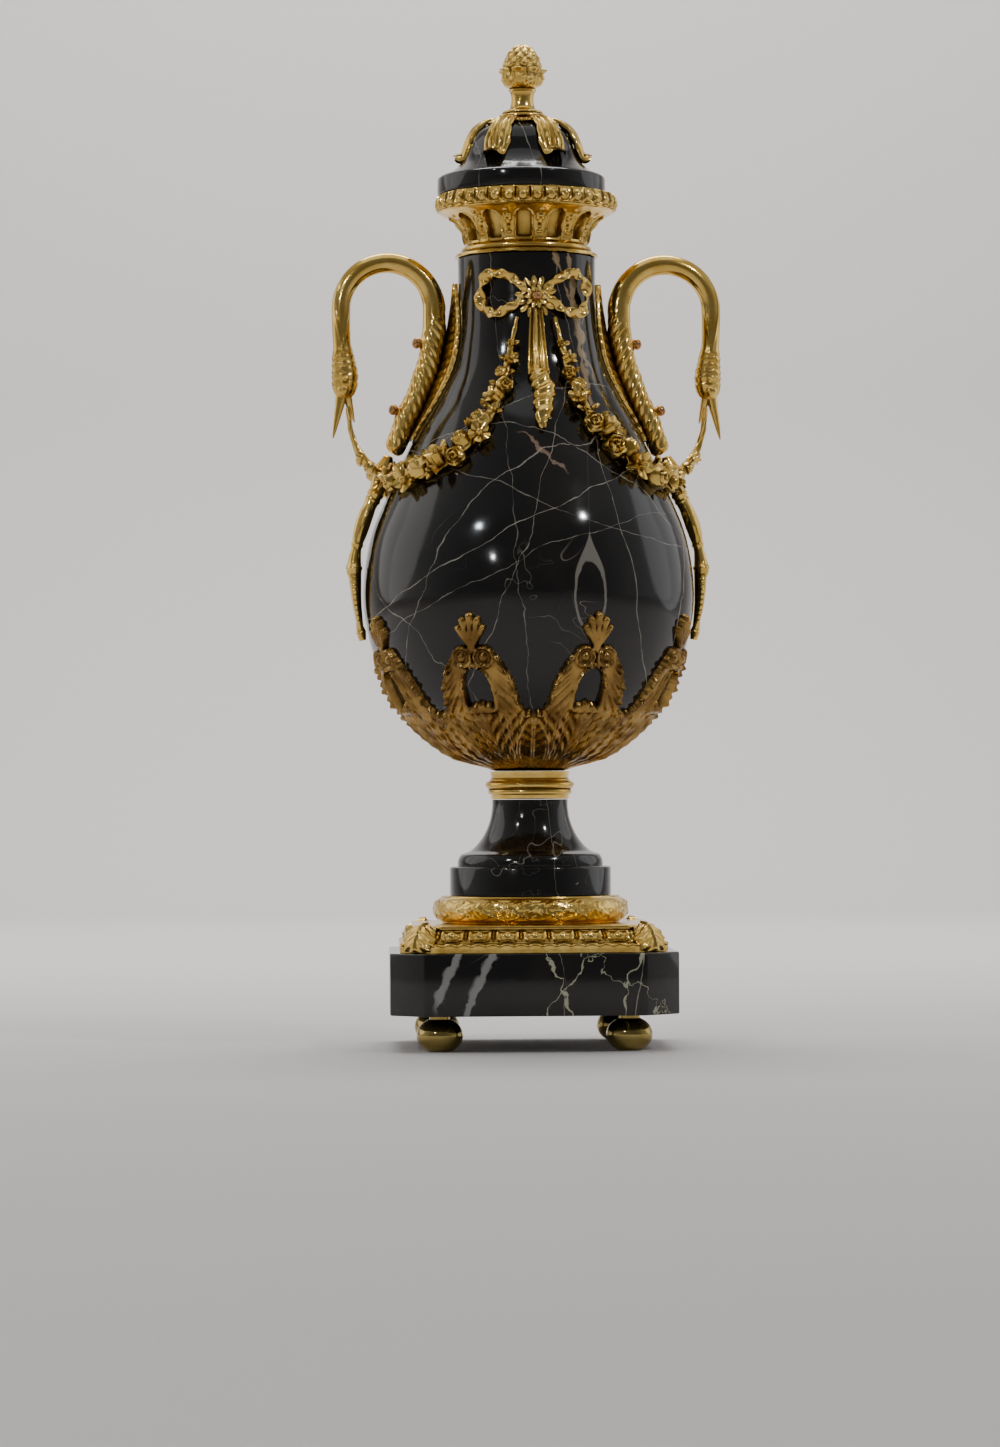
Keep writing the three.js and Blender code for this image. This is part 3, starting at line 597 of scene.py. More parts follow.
def square_mount():
    """Rings of the canted square, set in by the profile and pushed out by eggs, darts and a wavy fillet."""
    sides = [np.stack([np.full(n, k), np.arange(n) / n]) for k, n in enumerate([SIDE_STEPS, CANT_STEPS] * 4)]
    k, t = np.concatenate(sides, axis=1)
    k = k.astype(int)
    pitch = (BASE_WIDTH - 2 * BASE_CANT) / EGGS_A_SIDE
    x = (((t * EGGS_A_SIDE) % 1 - 0.5) * pitch)[None, :]
    y = (along_band - along_band[OVOLO_STARTS] - 5.4)[:, None]
    on_ovolo = step(y, -5.2, -4.4) * (1 - step(y, 4.2, 5.0))
    dart_x = np.abs(np.abs(x) - pitch / 2)
    darts = 1.3 * rib(dart_x, 1.6) * step(y, -4.5, -3.0) + 0.7 * dome(dart_x, y - 1.5, 1.3, 1.3)
    wave = 0.5 + 0.5 * np.cos(4 * np.pi * x / pitch)
    on_fillet = np.exp(-((along_band - along_band[FILLET_AT])[:, None] / 1.1) ** 2)
    pattern = (np.maximum(egg(x, y, 0.44 * pitch, 5.0), darts) - 0.7) * on_ovolo + 0.9 * wave * on_fillet
    pattern = np.where(k % 2 == 0, pattern, 0.0)
    slope = unit(np.gradient(base_profile, along_band, axis=0))
    z = base_profile[:, 1:] + pattern * slope[:, :1]
    corners = np.array([canted_square(BASE_WIDTH - 2 * inset, max(BASE_CANT - 0.59 * inset, 1.0))
                        for inset in base_profile[:, 0]])
    plan = corners[:, k] * (1 - t)[None, :, None] + corners[:, (k + 1) % 8] * t[None, :, None]
    facing = unit(np.array([[0, -1], [1, -1], [1, 0], [1, 1], [0, 1], [-1, 1], [-1, 0], [-1, -1]]))
    plan = plan + facing[k][None] * (pattern * slope[:, 1:])[:, :, None]
    return tube(np.concatenate([plan, z[:, :, None]], axis=-1))


def corner_leaf():
    """A leaf folded over a corner: its middle line runs down the moulding, its halves fall back, its
    edges are lobed and ribs fan out to the lobes."""
    middle = smooth_curve([[93.0, 78.0], [96.8, 77.9], [100.2, 75.4], [102.6, 71.2], [104.3, 67.4],
                           [104.6, 64.6], [103.7, 61.9]], 72)
    s, t = np.linspace(0, 1, 72)[:, None], np.linspace(-1, 1, 57)[None, :]
    half = np.interp(s, [0, 0.25, 0.6, 0.85, 1], [7.5, 10.5, 13.4, 13.8, 11.5])
    half = half * (0.95 + 0.09 * np.abs(np.sin(4.5 * np.pi * s)))
    lobes = 0.55 * waves(4.5 * s - 1.6 * np.abs(t)) * (0.3 + np.abs(t)) + 1.3 * rib(t, 0.16)
    tangent = unit(np.gradient(middle, axis=0))
    out = np.stack([-tangent[:, 1], tangent[:, 0]], axis=-1)
    out *= np.sign(out[:, :1].sum())

    def sheet(lift):
        level = np.maximum(middle[:, 1:] + lift * out[:, 1:], 61.7)
        return np.stack(np.broadcast_arrays(middle[:, :1] + lift * out[:, :1], half * t, level), axis=-1)
    return plate(sheet(1.1 + lobes - 3.4 * t**2), sheet(-4.4 * t**2 - 1.6))


corner = moved(corner_leaf(), about_z(-45))
made("square_mount", joined([square_mount()] + [moved(corner, about_z(90 * k)) for k in range(4)]),
     "gilt_bronze", node="base_mount")


# %% The laurel ring
def laurel_ring():
    """A half-round ring. Leaves lie along it in a plait, and each point takes the highest leaf over it."""
    turns, columns, leaf_length, leaf_half, bend = 700, 19, 25.0, 3.6, 1.42
    bottom, top, bore = 78.5, 95.4, 42
    across = np.linspace(-bend, bend, 34)
    profile = np.column_stack([56.2 + 5.0 * np.cos(across), 86.95 + 8.1 * np.sin(across) / np.sin(bend)])
    y = running_length(profile)
    y = (y - y[-1] / 2)[:, None]
    theta = circle(turns)
    girth = 2 * np.pi * 61
    x = theta / (2 * np.pi) * girth
    height = np.zeros((len(across), turns))
    plait = [(-5.2, 0.20, 0.0), (5.2, -0.20, 0.45), (0.4, 0.05, 0.25), (-2.4, 0.30, 0.7), (3.2, -0.28, 0.85)]
    for column in range(columns):
        for row, (at, lean, lag) in enumerate(plait):
            here = (x - (column + lag) * girth / columns + girth / 2) % girth - girth / 2
            u = here * np.cos(lean) + (y - at) * np.sin(lean)
            v = -here * np.sin(lean) + (y - at) * np.cos(lean)
            rise = 0.55 + 0.75 * np.clip(u / leaf_length, 0, 1) + 0.08 * row
            height = np.maximum(height, leaf_relief(v, u, leaf_length, leaf_half, 5) * rise)
    height -= 0.55
    r = profile[:, :1] + height * np.cos(across)[:, None]
    z = np.clip(profile[:, 1:] + height * np.sin(across)[:, None], bottom, top)
    inner = np.array([[56.4, top], [bore, top], [bore, bottom], [56.4, bottom]])
    inner = rings_of(inner[:, :1], inner[:, 1:], theta)
    return tube(np.concatenate([rings_of(r, z, theta), inner]), ends="loop")


made("laurel_ring", laurel_ring(), "gilt_bronze")

# %% The collar under the vase
torus = np.linspace(-1.45, 1.45, 14)
collar = np.vstack([
    [[0, 156.5], [24.4, 156.5]],
    crisp([[24.4, 156.5], [24.9, 157], [24.9, 159.3], [26.5, 159.8], [26.5, 162.4], [25.7, 162.7]], 0.2)[1:],
    np.column_stack([25.9 + 2.4 * np.cos(torus), 165.5 + 2.5 * np.sin(torus)]),
    [[25.5, 168.3], [25.3, 169.2], [24.6, 169.8], [24.6, 171.6], [25.0, 172.1], [25.1, 174.1], [0, 174.1]]])
made("collar", revolve(collar, 128), "gilt_bronze")

# %% [markdown]
# ## The openwork cup
# Eight cartouches rise from the collar and hold the belly. On each is an arched window with a
# scalloped sill, a frame, two scrolls and a shell of ribs on top, and its outer edges are set with
# beads. The marble shows through the windows and between the cartouches. The openings could be cut
# out of a shell with booleans, but their edges would be ragged. Instead the grid covers the whole
# lower belly, and wherever the casting has an opening its relief drops under the stone, which hides
# it, so every edge is a clean curve however the grid runs.

# %% The cup
CUP_STEPS, CUP_ROWS, LOBES = 90, 88, 8
OPENING = -1.4   # how far the relief drops under the stone where the casting is open


def shell_fingers(x, y):
    """Five rounded fingers that spread from one root, each wider and higher towards its tip."""
    reach, angle = np.hypot(x, y), np.degrees(np.arctan2(x, y))
    finger = np.clip(np.round(angle / 14), -2, 2)
    off = np.radians(angle - 14 * finger)
    beside, along = reach * np.sin(off), reach * np.cos(off)
    half = 0.104 * along + 0.6
    past_tip = np.maximum(along - (24.6 - 2.3 * np.abs(finger) ** 1.3 - half), 0)
    high = dome(beside, past_tip, half, half)
    return np.where((high > 0.05) & (y > 0), 0.4 + (2.3 + 0.08 * along) * high, OPENING)


def cartouche(a, z, x, arc):
    """The height over the stone of one cartouche, at angle a from its middle, height z and arc x:
    a lobed, beaded outline, a frame round the window, and acanthus veins that slant off a midrib."""
    edge = np.interp(z, [176, 210.6, 212.2, 216, 222, 229, 236.6, 243, 248, 250.5, 251.5],
                     [23, 23, 18.6, 16.8, 15.9, 14.9, 12.3, 9.8, 7.6, 3.0, -9])
    beside = np.abs(a)
    to_edge = (edge - beside) * arc
    tooth = np.abs(np.sin(np.pi * z / 4.4))
    solid = step(to_edge + 0.8 * tooth, -0.2, 0.9)
    beads = rib(to_edge - 1.0, 3.0) * (0.25 + 0.75 * tooth**2) * (z < 244) * (z > 213)
    floor_beads = rib(z - 210.2, 3.4) * np.abs(np.cos(np.pi * beside / 2.25)) * (beside > 17)

    window = np.interp(z, [214.5, 217, 224, 230, 234, 236.8, 238], [5.0, 5.3, 5.2, 4.6, 3.4, 1.5, 0])
    to_window = (beside - window) * arc
    past_end = np.maximum(215.0 - z, z - 237.6)
    to_corner = np.hypot(np.maximum(to_window, 0), np.maximum(past_end, 0))
    to_window = np.where((z > 215) & (z < 237.6), to_window, to_corner)

    leafy = 0.55 * waves(z / 6.6 - beside * 0.19) * step(beside, 0.6, 2.5)
    folds = 1.2 * rib(x, 2.0)
    for share, high, width in ((0.47, 1.3, 2.6), (0.27, -1.0, 1.8), (0.68, -1.1, 1.8)):
        folds = folds + high * rib(beside - share * edge, width)
    wing = 0.75 * waves(z / 6.4 + beside * 0.24) * step(beside, 7.5, 9.5)
    low = 1 - step(z, 208, 214)
    height = 2.2 + low * (leafy + folds) + (1 - low) * wing
    height = height + 2.3 * rib(to_window - 2.0, 2.8) + 2.8 * beads + 2.0 * floor_beads
    height = np.where(to_window < 0.7, OPENING, height)
    sill = np.maximum.reduce([dome(x - at, z - 214.0 - up, 2.9, 3.1)
                              for at, up in ((-4.9, -0.7), (0, 0.6), (4.9, -0.7))])
    sill_height = 2.0 + 2.0 * sill + 0.3 * waves(x / 1.7)
    height = np.maximum(height, np.where(sill > 0.05, sill_height, OPENING))
    height = np.where(solid > 0.02, height * solid + OPENING * (1 - solid), OPENING)

    for sign in (-1, 1):
        u, v = x * sign - 7.0, z - 244.6
        from_curl = np.hypot(u, v)
        scroll = 1.8 + 2.7 * rib(from_curl - 5.7, 2.8) + 3.2 * dome(u, v, 2.9, 2.9)
        height = np.maximum(height, np.where(from_curl < 7.1, scroll, OPENING))
    return np.maximum(height, shell_fingers(x, z - 247.5))


def valley_leaf(z, x):
    """The upright leaf between two cartouches, with a midrib and slanting veins, inside a pointed arch."""
    s = np.clip((z - 177) / 31, 0, 1)
    t = np.abs(x) / (9.0 * np.sin(np.pi * s**0.85) ** 0.7 + 0.01)
    veins = 0.5 * waves(z / 4.4 - 0.9 * t) + 1.1 * rib(x, 2.2)
    height = 2.6 + veins * step(1.1 - t, 0, 0.3) + 1.3 * rib(t - 1.0, 0.3) - 1.1 * rib(t - 1.25, 0.22)
    return np.where((t < 1.35) & (s > 0) & (s < 1), height, OPENING)


def cup():
    """The cup's relief over the belly's skin, eight times round, closed by a back inside the stone."""
    z = np.concatenate([np.linspace(175.2, 207, 26), np.linspace(208, 273.4, CUP_ROWS - 26)])[:, None]
    theta = np.linspace(0, 360, CUP_STEPS * LOBES, endpoint=False)[None, :]
    a = theta % (360 / LOBES) - 180 / LOBES
    valley = np.where(a > 0, a - 180 / LOBES, a + 180 / LOBES)
    skin = body_radius(z)
    arc = np.radians(skin)
    height = np.maximum(cartouche(a, z, a * arc, arc), valley_leaf(z, valley * arc))
    height = height * np.where(height > 0, 0.1 + 0.9 * step(z, 175, 187), 1)
    slope = np.gradient(skin[:, 0], z[:, 0])[:, None]
    lean = np.hypot(1, slope)
    spin = np.radians(theta - 90)
    front = rings_of(skin + height / lean, np.maximum(z - height * slope / lean, 174.6), spin)
    return tube(np.concatenate([front, rings_of(skin[::-8] - 3.0, z[::-8], spin)]), ends="loop")



made("calyx", cup(), "toned_gilt_bronze", sharp=60)

# %% [markdown]
# ## The rim over the mouth
# Under the lid a flared rim carries thirty-nine small eggs, three to each of thirteen arched flutes.
# Between the flutes hang drops of bell flowers. Flutes could be cut out of a turned rim with
# booleans, which leave rough shading. Here they are only places where the relief is negative, so
# the rim stays one closed skin.

# %% The rim
FLUTES, RIM_EGGS, RIM_TURNS, RIM_BOTTOM, RIM_TOP = 13, 39, 624, 500.1, 540.0
FLUTE_HALF, FLUTE_TOP, ARCH_DEEP = 4.6, 21.5, 6


def gallery():
    """The rim's profile carried round, with eggs on its band and flutes and drops on its hollow side."""
    ring = np.vstack([[[44.9, RIM_BOTTOM], [45.3, 500.5], [45.3, 501.9], [44.9, 502.3], [41.6, 502.5]],
                      smooth_curve([[40.8, 502.9], [41.5, 504.4], [41.1, 506.2], [39.4, 507.6]], 9)])
    side = smooth_curve([[38.8, 508.8], [39.2, 512], [41.4, 518.6], [45.6, 523.8], [51.6, 527.4],
                         [54.8, 528.6]], 38)
    swell = np.linspace(-1.25, 1.25, 24)
    band = np.column_stack([55.2 + 2.3 * np.cos(swell), 534.6 + 5.2 * np.sin(swell) / np.sin(1.25)])
    inner = [[54.6, RIM_TOP], [50, RIM_TOP], [47.6, 539.4], [46.2, 532], [41, 524], [36.4, 517], [35.8, 510],
             [35.8, RIM_BOTTOM]]
    profile = np.vstack([ring, side, band, inner])
    length = running_length(profile)[:, None]
    theta = circle(RIM_TURNS)
    radius = profile[:, :1]
    relief = np.zeros((len(profile), RIM_TURNS))
    side_starts, band_starts = len(ring), len(ring) + len(side)

    rows = slice(band_starts, band_starts + len(band))
    pitch = 2 * np.pi * 57.4 / RIM_EGGS
    x = ((theta * RIM_EGGS / (2 * np.pi)) % 1 - 0.5) * pitch
    y = length[rows] - length[rows].mean()
    on_band = step(y, -5.9, -5.0) * (1 - step(y, 4.8, 5.6))
    relief[rows] = (0.92 * egg(x, y, 0.50 * pitch, 5.2) - 0.85) * on_band

    rows = slice(side_starts, band_starts)
    pitch = 2 * np.pi / FLUTES * radius[rows]
    x = np.abs((theta * FLUTES / (2 * np.pi)) % 1 - 0.5) * pitch
    y = length[rows] - length[side_starts]
    arch = np.clip(y - (FLUTE_TOP - ARCH_DEEP), 0, None) / ARCH_DEEP
    half = FLUTE_HALF * np.sqrt(np.clip(1 - arch**2, 0, 1))
    inside = step(half - x, -0.5, 0.7) * step(y, 1.2, 2.2) * (y < FLUTE_TOP)
    lips = rib(x - half - 0.7, 1.5) * (y < FLUTE_TOP - 0.2) * (y > 0.6)
    tongue = 0.7 * dome(x - 5.6, y - 3.6, 1.1, 3.0)
    # The drop between two flutes: how far each boss stands out, its place aside and up, and its size.
    bosses = [(1.7, 0, 15.2, 2.6, 1.6), (1.6, 1.6, 13.2, 1.2, 1.5), (1.3, 0, 11.2, 1.5, 2.4),
              (1.5, 0, 7.6, 1.3, 1.3), (1.2, 0, 4.2, 2.0, 1.1), (0.9, 0, 20.5, 1.9, 1.4)]
    drop = np.maximum.reduce([out * dome(pitch / 2 - x - aside, y - up, wide, high)
                              for out, aside, up, wide, high in bosses])
    relief[rows] = -3.7 * inside + 0.8 * lips + (tongue + drop) * (1 - inside)

    slope = unit(np.gradient(profile, length[:, 0], axis=0))
    z = np.clip(profile[:, 1:] - relief * slope[:, :1], RIM_BOTTOM, RIM_TOP)
    return tube(rings_of(radius + relief * slope[:, 1:], z, theta), ends="loop")


made("gallery", moved(gallery(), about_z(3)), "gilt_bronze")


# %% [markdown]
# ## The lid's leaf cap and the finial
# Six acanthus leaves fall from a small disc and curl up at their tips, and an acorn stands on a
# spool above them. A leaf could be a flat card that is bent, but then its thickness and ribs would
# be lost. It is a strip laid along a spine, whose outline, ribs and curl are functions of the place
# along and across. The finial is turned, and its scales are a relief where two spirals cross.

# %% Helpers for strips and stems
def carried(path, up, side_offset, out_offset):
    """Each path point plus side a + out b, where side = tangent x up and out = side x tangent."""
    tangent = unit(np.gradient(path, axis=0))
    side = unit(np.cross(tangent, np.broadcast_to(up, path.shape)))
    out = np.cross(side, tangent)
    return path[:, None] + side[:, None] * side_offset[:, :, None] + out[:, None] * out_offset[:, :, None]


def strip(path, up, half, lift, thick, across=41):
    """A thin solid along a path: half(s, t) is its reach to the side and lift(s, t) its height."""
    s, t = np.linspace(0, 1, len(path))[:, None], np.linspace(-1, 1, across)[None, :]
    reach, high = half(s, t) * t, lift(s, t)
    return plate(carried(path, up, reach, high), carried(path, up, reach, high - thick))


def ball(radius, centre, steps=24):
    """A turned sphere."""
    t = np.linspace(-np.pi / 2, np.pi / 2, steps // 2 + 1)
    return moved(revolve(np.column_stack([radius * np.cos(t), radius * np.sin(t)]), steps), shift=centre)


# %% The leaf cap
def cap_leaf():
    """Spine down the dome; the width swells to the middle and ends in lobes; ribs fan to the lobes."""
    spine = smooth_curve([[13, 0, 588.4], [21.4, 0, 587.4], [30, 0, 582.2], [34.8, 0, 574], [36.9, 0, 567.6],
                          [38.8, 0, 564.4], [41.2, 0, 564.8], [41.8, 0, 566.6]], 60)

    def half(s, t):
        swell = np.interp(s, [0, 0.2, 0.42, 0.62, 0.78, 0.9, 1], [5.2, 6.0, 7.2, 8.6, 8.9, 7.0, 3.4])
        return swell * (1 + 0.06 * np.abs(np.sin(5 * np.pi * s)))

    def lift(s, t):
        ribs = 0.7 + 1.1 * np.abs(np.cos(2.5 * np.pi * t)) ** 0.8 * step(s, 0.0, 0.3) + 0.7 * rib(t, 0.22)
        return ribs - 1.9 * t**2 * step(s, 0.1, 0.5) + 0.25 * waves(5 * s - 1.2 * np.abs(t)) * np.abs(t)
    return strip(spine, (0.3, 0, 1), half, lift, 1.2, 27)


def cap_disc():
    """A sloping disc whose edge is a row of small beads, hugging the dome between the leaves."""
    theta = circle(324)
    bead = np.abs(np.cos(27 * theta))
    profile = np.array([[0.5, 589.5], [14.5, 589.5], [15.2, 589.2], [15.6, 588.7], [18.6, 587.9],
                        [20.8, 587.2], [22.3, 586.2], [22.8, 585.4], [21.8, 584.9], [17, 586.7],
                        [0.5, 587.0]])
    weight = np.interp(np.arange(len(profile)), [0, 3, 5, 7, 8, 10], [0, 0, 0.5, 1.4, 0.6, 0])[:, None]
    r, z = profile[:, :1] + weight * (bead - 0.6), profile[:, 1:] + 0.5 * weight * (bead - 0.5)
    return tube(rings_of(r, z, theta))


leaf = cap_leaf()
cap = joined([cap_disc()] + [moved(leaf, about_z(60 * k)) for k in range(6)])
made("leaf_cap", moved(cap, shift=(CROWN_SLIDE, 0, 0)), "gilt_bronze")

# %% The finial
def finial():
    """A turned spool; the cup above it has eight flared leaf tips, and the acorn a lattice of scales."""
    bulge = np.linspace(-1.3, 1.3, 8)
    spool = np.vstack([
        crisp([[0.4, 589.8], [15.7, 589.8], [15.7, 590.9], [14.6, 591.5], [12.9, 591.8]], 0.25),
        np.column_stack([11.9 + np.cos(bulge), 593.0 + np.sin(bulge)]),
        smooth_curve([[9.6, 594.4], [8.0, 596.4], [7.1, 600.2], [7.2, 604.0], [7.9, 606.3]], 22),
        [[8.7, 606.7], [8.8, 607.6], [8.0, 608.3]]])
    acorn_cup = smooth_curve([[8.4, 608.6], [10.6, 610.2], [12.2, 612.8], [12.8, 616.0], [12.9, 618.8],
                              [13.2, 620.2], [12.2, 620.7], [11.4, 620.0]], 40)
    nut = smooth_curve([[11.5, 620.0], [12.0, 621.8], [11.4, 625.6], [9.6, 630.0], [6.7, 633.8], [3.2, 636.3],
                        [0.4, 637.0]], 52)
    profile = np.vstack([spool, acorn_cup, nut])
    theta = circle(168)
    r, z = profile[:, :1], profile[:, 1:]
    relief = np.zeros((len(profile), theta.shape[1]))
    cup_starts, nut_starts = len(spool), len(spool) + len(acorn_cup)
    up, wave = z[cup_starts:nut_starts], np.abs(np.cos(3.5 * theta))
    veins = 0.45 * np.cos(28 * theta + 0.5 * (up - 614)) * step(up, 609, 611)
    tips = 0.7 * rib(up - 613 - 2.0 * wave, 3.0) + 2.2 * wave**2 * step(up, 617.8, 620.2)
    relief[cup_starts:nut_starts] = veins + 1.3 * (wave - 0.6) * step(up, 609, 612) + tips
    up = z[nut_starts:] - 620
    u, v = 8 * theta / (2 * np.pi) + up / 9.5, 8 * theta / (2 * np.pi) - up / 6.2
    scales = 1.5 * np.abs(np.sin(np.pi * u) * np.sin(np.pi * v)) ** 0.6 - 0.7
    relief[nut_starts:] = scales * step(r[nut_starts:], 0.5, 5)
    return tube(rings_of(np.maximum(r + relief, 0.2), z, theta))


made("finial", moved(finial(), shift=(CROWN_SLIDE, 0, 0)), "gilt_bronze")

# %% [markdown]
# ## The swan handles
# Each handle is a swan that bends its head down to the garland. The limb below is twisted with
# feathers, the neck is a plain polished tube, and the head is scaled with small feathers again. It
# could be joined from separate limbs, but their seams would show. One tube along the handle's route
# does it all: its radius is a function of the place along it and the angle round it, so feathers,
# neck and head flow into each other as they do in the casting. A wing leaf lies behind the limb, a
# long tail leaf hangs below it, and two screws with ball heads hold it.

# %% The swan
MOUNT_TURN = 5
ARCH_R, ARCH_Z, ARCH_RADIUS = 88.9, 467.3, 29.6


def swan():
    """A tube whose radius follows stations along its length, with twisted feathers, a sheath whose
    edges meet in a V, and rows of scallops at the head."""
    t = np.linspace(np.pi, 0, 15)
    arch = np.column_stack([ARCH_R + ARCH_RADIUS * np.cos(t), ARCH_Z + ARCH_RADIUS * np.sin(t)])
    limb = [[86.9, 376.3], [83.8, 381.6], [77, 398.4], [69, 415.3], [63, 432.4], [59.8, 450]]
    neck = [[118.3, 452], [117.4, 438], [116.2, 424], [117, 411]]
    path = smooth_curve(np.insert(np.vstack([limb, arch, neck]), 1, 0, axis=1), 330)
    length = running_length(path)[-1]
    f = np.linspace(0, 1, 330)[:, None]
    s = f * length
    phi = circle(64)
    radius = np.interp(f, [0, 0.004, 0.012, 0.1, 0.3, 0.42, 0.5, 0.62, 0.78, 0.86, 0.9, 0.94, 0.975, 0.99, 1],
                       [3.4, 5.0, 6.4, 6.9, 7.3, 7.1, 6.6, 6.3, 5.9, 5.6, 6.9, 8.1, 7.8, 6.5, 4.2])
    lap = s - 9 * np.cos(phi)
    fade = 1 - step(lap, 76, 98)
    quill = np.abs(np.sin(np.pi * (s / 6.2 + 4 * phi / np.pi))) ** 0.8
    plume = 0.5 + 0.5 * np.cos(2 * np.pi * s / 26 + 2 * phi)
    feathers = ((0.6 + 0.5 * plume) * (quill - 0.6) + 0.5 * plume) * fade * step(s, 2, 10)
    tongue = 0.5 * rib(lap - 90, 7)
    head_starts = step(f, 0.868, 0.885)
    spread = np.interp(f, [0.62, 0.78, 0.875], [1.25, 0.75, 0.05])
    beside = np.minimum(np.abs(phi - np.pi / 2), np.abs(phi - 3 * np.pi / 2))
    sheath = 0.5 * rib(beside - spread, 0.32) * step(s, 150, 178) * (1 - head_starts)
    row = s / 4.3 + 0.22 * np.abs(np.sin(4 * phi))
    scallop = (0.95 * (1 - row % 1) ** 0.8 - 0.3) * head_starts * (1 - step(f, 0.968, 0.985))
    r = radius + feathers + tongue * fade + sheath + scallop
    flatten = 1 - 0.10 * step(f, 0.86, 0.93)
    shapes = [tube(carried(path, (0, 1, 0), r * np.cos(phi), flatten * r * np.sin(phi)))]
    psi = circle(20)
    q = np.linspace(0, 1, 40)[:, None]
    for points, wide in (([[117.6, 0, 414.5], [119.6, 0, 405], [122.0, 0, 394], [124.0, 0, 385.3]], 4.4),
                         ([[114.8, 0, 414.5], [113.2, 0, 407], [111.6, 0, 400.5], [110.4, 0, 395.5]], 3.7)):
        taper = wide * (1 - q) ** 0.75 + 0.35
        side, out = taper * (0.8 * np.cos(psi) + 0.12 * np.cos(2 * psi)), taper * 0.82 * np.sin(psi)
        shapes.append(tube(carried(smooth_curve(points, 40), (0, 1, 0), side, out)))
    for y in (-4.3, 4.3):
        shapes += [ball(4.3, (117.4, y, 415.8), 28), ball(2.2, (116.2, 1.55 * y, 422.8), 20)]
    return joined(shapes)


# %% The wing leaf and the tail leaf
def wing_leaf():
    """A keeled leaf from the keel line out to two serrated edges on the marble, thin and slightly hollow."""
    tip, pitch = 484, 5.4
    z = np.linspace(tip, 384, 120)[:, None]
    t = np.linspace(-1, 1, 31)[None, :]
    keel = np.interp(z, [376, 392, 412, 432, 450, 470, 486], [83, 73.6, 64.4, 56.4, 52.2, 49.0, 47.4])
    half = np.interp(z, [385, 400, 420, 440, 458, 474, 484], [7, 13.5, 15.6, 14.2, 10.6, 4.6, 0.4])
    half = half * (1 + 0.10 * (1 - ((tip - z) / pitch) % 1) * step(tip - z, 2, 8))
    skin = body_radius(z) + 0.9
    edge = np.sqrt(np.maximum(skin**2 - half**2, 1)) + 0.9
    fall = np.abs(t) ** 1.6
    x = np.maximum(keel, skin + 1.4) * (1 - fall) + edge * fall
    feather = 0.22 * waves((tip - z) / pitch + 1.1 * np.abs(t)) * step(np.abs(t), 0.15, 0.5)
    sheets = [np.stack(np.broadcast_arrays(x + lift, half * t, z), axis=-1)
              for lift in (0.6 * rib(np.abs(t) - 0.93, 0.2) + feather, -1.3)]
    return plate(*sheets)


def tail_leaf():
    """A stem of buds and collars that opens into a channelled leaf and ends in a small knob."""
    route = np.array([[88.8, 374.4], [91.6, 366], [97, 350.8], [103, 337.8], [107.6, 324], [110.4, 310.5],
                      [111.2, 299], [110.4, 283], [108.6, 271], [106.9, 262.8], [105.9, 257.4]])
    path = smooth_curve(np.insert(route, 1, 0, axis=1), 200)
    z = path[:, 2:]
    phi = circle(32)
    # Half widths and half depths at heights, from the tip up.
    wide = np.interp(z, [257.4, 258.3, 262.5, 263.5, 266, 276, 290, 299, 303, 307, 315, 322, 330, 336, 343,
                         347, 350, 353, 358, 367, 373.6, 374.4],
                     [2.4, 3.5, 3.5, 2.3, 2.6, 4.4, 5.9, 5.2, 6.6, 4.8, 3.4, 4.2, 5.2, 4.7, 5.0, 4.4,
                      5.6, 4.4, 4.2, 6.2, 4.4, 2.0])
    deep = np.interp(z, [257.4, 263, 266, 275, 285, 295, 303, 315, 330, 343, 350, 367, 374.4],
                     [2.2, 3.2, 2.3, 3.2, 4.0, 4.6, 4.8, 3.2, 4.4, 4.2, 4.8, 5.4, 2.4])
    bands = 0.6 * (rib(z - 350, 2.6) + rib(z - 346.2, 1.8) + rib(z - 303.5, 3.4) + rib(z - 318, 2.0))
    creases = 0.5 * np.abs(np.cos(2.5 * phi)) * (step(z, 354, 360) + (1 - step(np.abs(z - 331), 6, 12)))
    channel = -1.5 * rib(np.sin(phi) - 1, 0.9) * step(z, 266, 272) * (1 - step(z, 296, 301))
    serrate = 0.8 * np.abs(np.sin(np.pi * z / 3.3)) * (1 - step(z, 297, 301)) * step(z, 266, 270)
    serrate = serrate * np.maximum(np.abs(np.cos(phi)) ** 6, np.abs(np.sin(phi)) ** 8)
    a = (wide + bands + creases + serrate) * np.cos(phi)
    b = (deep + bands + creases + channel) * np.sin(phi)
    return tube(carried(path, (1.0, 0.0, 0.0), a, b))


# %% Both handles, their tail leaves and their screws
SCREW_AT = {"upper": ((60.6, 0, 444), 12), "lower": ((76.2, 0, 400), 22)}
head = np.linspace(-0.86, np.pi / 2, 12)
screw_profile = np.vstack([[[0, 7.3], [2.0, 7.3], [2.0, 7.9]],
                           np.column_stack([3.65 * np.cos(head), 10.0 + 3.2 * np.sin(head)])])
right_handle, right_tail = joined([swan(), wing_leaf()]), tail_leaf()
for place, side in (("right", 1), ("left", -1)):
    stand = about_z(MOUNT_TURN) @ np.diag([side, 1, 1])
    made(f"swan_handle_{place}", moved(right_handle, stand), "gilt_bronze", sharp=55)
    made(f"tail_leaf_{place}", moved(right_tail, stand), "gilt_bronze", sharp=55)
    for level, (centre, degrees) in SCREW_AT.items():
        tilt = np.radians(90 - degrees)
        aim = np.array([[np.cos(tilt), 0, np.sin(tilt)], [0, 1, 0], [-np.sin(tilt), 0, np.cos(tilt)]])
        screw = moved(moved(revolve(screw_profile, 32), aim, centre), stand)
        made(f"handle_screw_{place}_{level}", screw, "copper")

